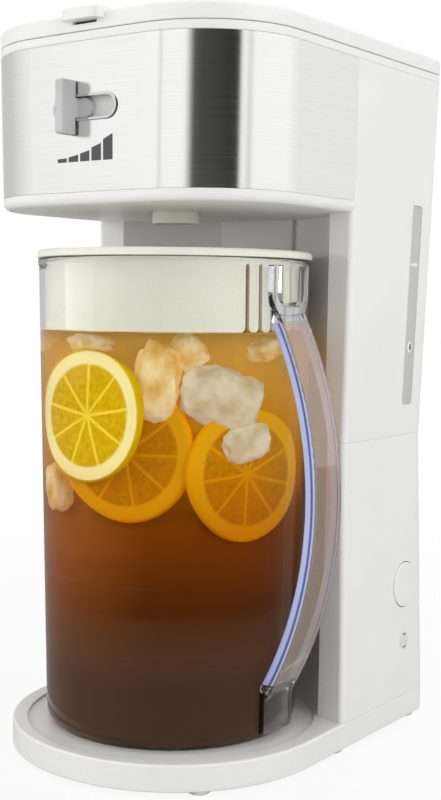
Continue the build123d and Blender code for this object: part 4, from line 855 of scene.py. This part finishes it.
def makeBars():
    points, faces = [], []
    for left, right, leftHeight, rightHeight in bars["runs"]:
        start = len(points)
        for lift in (bars["lift"], bars["lift"] - bars["thickness"]):
            for share in (0, 0.5, 1):
                x = left + (right - left) * share
                height = leftHeight + (rightHeight - leftHeight) * share
                points += [onSteel(x, bars["bottom"], lift), onSteel(x, bars["bottom"] + height, lift)]
        a, b = start, start + 6
        faces += [(a, a + 2, a + 3, a + 1), (a + 2, a + 4, a + 5, a + 3)]
        faces += [(b, b + 1, b + 3, b + 2), (b + 2, b + 3, b + 5, b + 4)]
        rim = [0, 2, 4, 5, 3, 1]
        faces += [(a + rim[i], a + rim[(i + 1) % 6], b + rim[(i + 1) % 6], b + rim[i]) for i in range(6)]
    piece = addPiece("strengthBars", points, faces, printInk("darkGreyInk", "#4C4C4E", 0.4), "root")
    piece.data.shade_flat()


# marks on the right side: the node that each lies on, its middle (y, z), half sizes, corner count and lift
sideMarks = {
    "windowLine": {
        "node": "water_window", "middle": (105.4, 253.7), "half": (3.6, 0.8), "corners": 4, "lift": 0.06,
        "ink": "whiteInk",
    },
    "windowRing": {
        "node": "water_window", "middle": (103.4, 208.4), "half": (2.6, 3.0), "corners": 32, "lift": 0.06,
        "ink": "whiteInk",
    },
    "windowDot": {
        "node": "water_window", "middle": (103.9, 208.4), "half": (1.2, 1.9), "corners": 32, "lift": 0.1,
        "ink": "midGreyInk",
    },
    "lampMarkUpper": {
        "node": "pilot_lens", "middle": (101.6, 49.2), "half": (1.7, 0.8), "corners": 16, "lift": 0.06,
        "ink": "midGreyInk",
    },
    "lampMarkLower": {
        "node": "pilot_lens", "middle": (101.6, 41.6), "half": (1.7, 0.8), "corners": 16, "lift": 0.06,
        "ink": "midGreyInk",
    },
}
markSink = -0.05
inks = {"whiteInk": printInk("whiteInk", "#F4F4F4", 0.4), "midGreyInk": printInk("midGreyInk", "#6A6A6A", 0.45)}


def makeSideMark(name):
    mark = sideMarks[name]
    corners = mark["corners"]
    start, reach = (pi / 4, sqrt(2)) if corners == 4 else (0, 1)  # a square's corners reach out of its circle
    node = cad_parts[mark["node"]]
    midY, midZ = mark["middle"]
    halfY, halfZ = mark["half"]
    rings = [[], [], [], []]
    for corner in range(corners):
        turn = start + 2 * pi * corner / corners
        y = midY + halfY * reach * cos(turn)
        z = midZ + halfZ * reach * sin(turn)
        _, place, _, _ = node.ray_cast(Vector((200, y, z)) * mm, Vector((-1, 0, 0)))
        x = place.x / mm
        section = ((0, markSink), (1, markSink), (1, mark["lift"]), (0, mark["lift"]))
        for ring, (share, height) in zip(rings, section):
            ring.append((x + height, midY + (y - midY) * share, midZ + (z - midZ) * share))
    points = [point for ring in rings for point in ring]
    piece = addPiece(name, points, ringsToFaces(4, corners), inks[mark["ink"]], "root")
    piece.data.shade_flat()


makeBars()
for markName in sideMarks:
    makeSideMark(markName)
print("marks printed")

# the studio: a floor and surroundings that are white to the eye, and plain soft lamps; lengths are in metres
studio = {
    "floor": "#DCDCDC", "floorShine": "#8E8E8E", "floorHalf": 4.0, "floorGlow": 0.9, "glowNear": 0.25, "glowFar": 0.9,
    "worldLight": 0.6, "ceiling": 0.6, "ceilingFade": 0.15,
}
# what reflections see all round the studio, by degrees from the front towards the right: white, with a dark corner
walls = [
    (-180, "#DADADA"), (-140, "#D0D0D0"), (-104, "#C9C9C9"), (-85, "#CFCFCF"), (-60, "#EAEAEA"), (-45, "#FAFAFA"),
    (-30, "#FFFFFF"), (-18.5, "#FFFFFF"), (-16, "#CFCFCF"), (-13.5, "#FFFFFF"), (12, "#FFFFFF"), (20.5, "#4E4E4C"),
    (28, "#444442"), (60, "#2E2E2D"), (68.5, "#2B2B2A"), (71, "#F0F0F0"), (76, "#FFFFFF"), (80, "#D6D6D6"),
    (86, "#FFFFFF"), (130, "#FFFFFF"), (148, "#EEEEED"), (180, "#DADADA"),
]
lamps = {
    "key": {"place": (-1.5, -1.25, 0.55), "size": (1.2, 1.2), "power": 16.0},
    "fill": {"place": (1.7, -0.7, 0.7), "size": (0.9, 1.2), "power": 11.0},
    "top": {"place": (0.2, 0.2, 1.7), "size": (1.2, 1.2), "power": 7.4},
    "rear": {"place": (-0.3, 2.0, 0.6), "size": (1.4, 1.0), "power": 7.0},
}
lampAim = (0, 0, 0.2)


def backgroundRays(tree):  # the rays that show the background: seen straight, through glass or in a reflection
    rays = addNode(tree, "LightPath").outputs
    straight = {0: rays["Is Camera Ray"], 1: rays["Is Transmission Ray"]}
    seen = addNode(tree, "Math", {"operation": "MAXIMUM"}, straight)
    seen = addNode(tree, "Math", {"operation": "MAXIMUM"}, {0: seen, 1: rays["Is Glossy Ray"]})
    return seen, rays["Is Glossy Ray"]


def makeFloor():  # it glows white far off, keeps the shadow near the object, and is a plain grey in reflections
    size = studio["floorHalf"]
    mesh = bpy.data.meshes.new("floor")
    mesh.from_pydata([(-size, -size, 0), (size, -size, 0), (size, size, 0), (-size, size, 0)], [], [(0, 1, 2, 3)])
    floor = bpy.data.objects.new("floor", mesh)
    bpy.context.collection.objects.link(floor)
    settings = {"Base Color": hexColour(studio["floor"]), "Roughness": 0.6}
    material, tree, shader, output, where = newMaterial("paleStudioFloor", settings)
    seen, mirrored = backgroundRays(tree)
    tones = {mixFrom: hexColour("#FFFFFF"), mixTo: hexColour(studio["floorShine"])}
    tone = addNode(tree, "Mix", {"data_type": "RGBA", **tones}, {mixFactor: mirrored})
    glow = addNode(tree, "Emission", {"Strength": 1.0}, {"Color": tone.outputs[mixResult]})
    away = addNode(tree, "VectorMath", {"operation": "LENGTH"}, {0: where}).outputs["Value"]
    limits = {
        "From Min": studio["glowNear"], "From Max": studio["glowFar"], "To Min": studio["floorGlow"], "To Max": 1.0,
    }
    rise = addNode(tree, "MapRange", {"interpolation_type": "SMOOTHSTEP", **limits}, {"Value": away})
    share = addNode(tree, "Math", {"operation": "MULTIPLY"}, {0: seen, 1: rise})
    mix = addNode(tree, "MixShader", links={0: share, 1: shader, 2: glow})
    linkInputs(tree, output, {"Surface": mix})
    mesh.materials.append(material)


def makeWorld():  # white to the eye, plain light on the object, and the studio's dark corner in reflections alone
    world = bpy.data.worlds.new("studioWorld")
    bpy.context.scene.world = world
    world.use_nodes = True
    tree = world.node_tree
    tree.nodes.clear()
    seen, mirrored = backgroundRays(tree)
    strength = addNode(tree, "MapRange", {"To Min": studio["worldLight"], "To Max": 1.0}, {"Value": seen})
    where = addNode(tree, "TexCoord").outputs["Generated"]
    parts = addNode(tree, "SeparateXYZ", links={"Vector": where}).outputs
    ahead = addNode(tree, "Math", {"operation": "MULTIPLY", 1: -1.0}, {0: parts["Y"]})
    turn = addNode(tree, "Math", {"operation": "ARCTAN2"}, {0: parts["X"], 1: ahead})
    around = addNode(tree, "MapRange", {"From Min": -pi, "From Max": pi}, {"Value": turn})
    stops = [((degrees + 180) / 360, colour) for degrees, colour in walls]
    around = addNode(tree, "ValToRGB", links={"Fac": around}, stops=stops)
    limits = {"From Min": studio["ceiling"] + studio["ceilingFade"], "From Max": studio["ceiling"]}
    low = addNode(tree, "MapRange", limits, {"Value": parts["Z"]})
    share = addNode(tree, "Math", {"operation": "MULTIPLY"}, {0: low, 1: mirrored})
    white = {mixFrom: hexColour("#FFFFFF")}
    tone = addNode(tree, "Mix", {"data_type": "RGBA", **white}, {mixFactor: share, mixTo: around})
    back = addNode(tree, "Background", links={"Color": tone.outputs[mixResult], "Strength": strength})
    addNode(tree, "OutputWorld", links={"Surface": back})


def addLamp(name):
    look = lamps[name]
    lamp = bpy.data.lights.new(name, "AREA")
    lamp.shape = "RECTANGLE"
    lamp.size, lamp.size_y = look["size"]
    lamp.energy = look["power"]
    holder = bpy.data.objects.new(name, lamp)
    holder.location = look["place"]
    holder.rotation_euler = (Vector(look["place"]) - Vector(lampAim)).to_track_quat("Z", "Y").to_euler()
    bpy.context.collection.objects.link(holder)
    holder.visible_glossy = False  # reflections see the walls, not the lamps


# place in mm, and angles in degrees
cameraSet = {
    "place": (419.8, -539.3, 231.5), "turn": 35.8725, "tilt": 2.0696, "roll": 0.592, "lens": 58.49, "sensor": 36,
    "shift": -0.0625, "near": 0.01,
}


def addCamera():
    data = bpy.data.cameras.new("camera")
    data.lens = cameraSet["lens"]
    data.sensor_width = data.sensor_height = cameraSet["sensor"]
    data.sensor_fit = "AUTO"
    data.shift_y = cameraSet["shift"]
    data.clip_start = cameraSet["near"]
    camera = bpy.data.objects.new("camera", data)
    turn = Matrix.Rotation(radians(cameraSet["turn"]), 4, "Z")
    tilt = Matrix.Rotation(radians(90 - cameraSet["tilt"]), 4, "X")
    roll = Matrix.Rotation(radians(cameraSet["roll"]), 4, "Z")
    camera.matrix_world = Matrix.Translation(Vector(cameraSet["place"]) * mm) @ turn @ tilt @ roll
    bpy.context.collection.objects.link(camera)
    bpy.context.scene.camera = camera


makeFloor()
makeWorld()
for lampName in lamps:
    addLamp(lampName)
addCamera()
bpy.context.scene.view_settings.view_transform = "Standard"
print("stage ready")
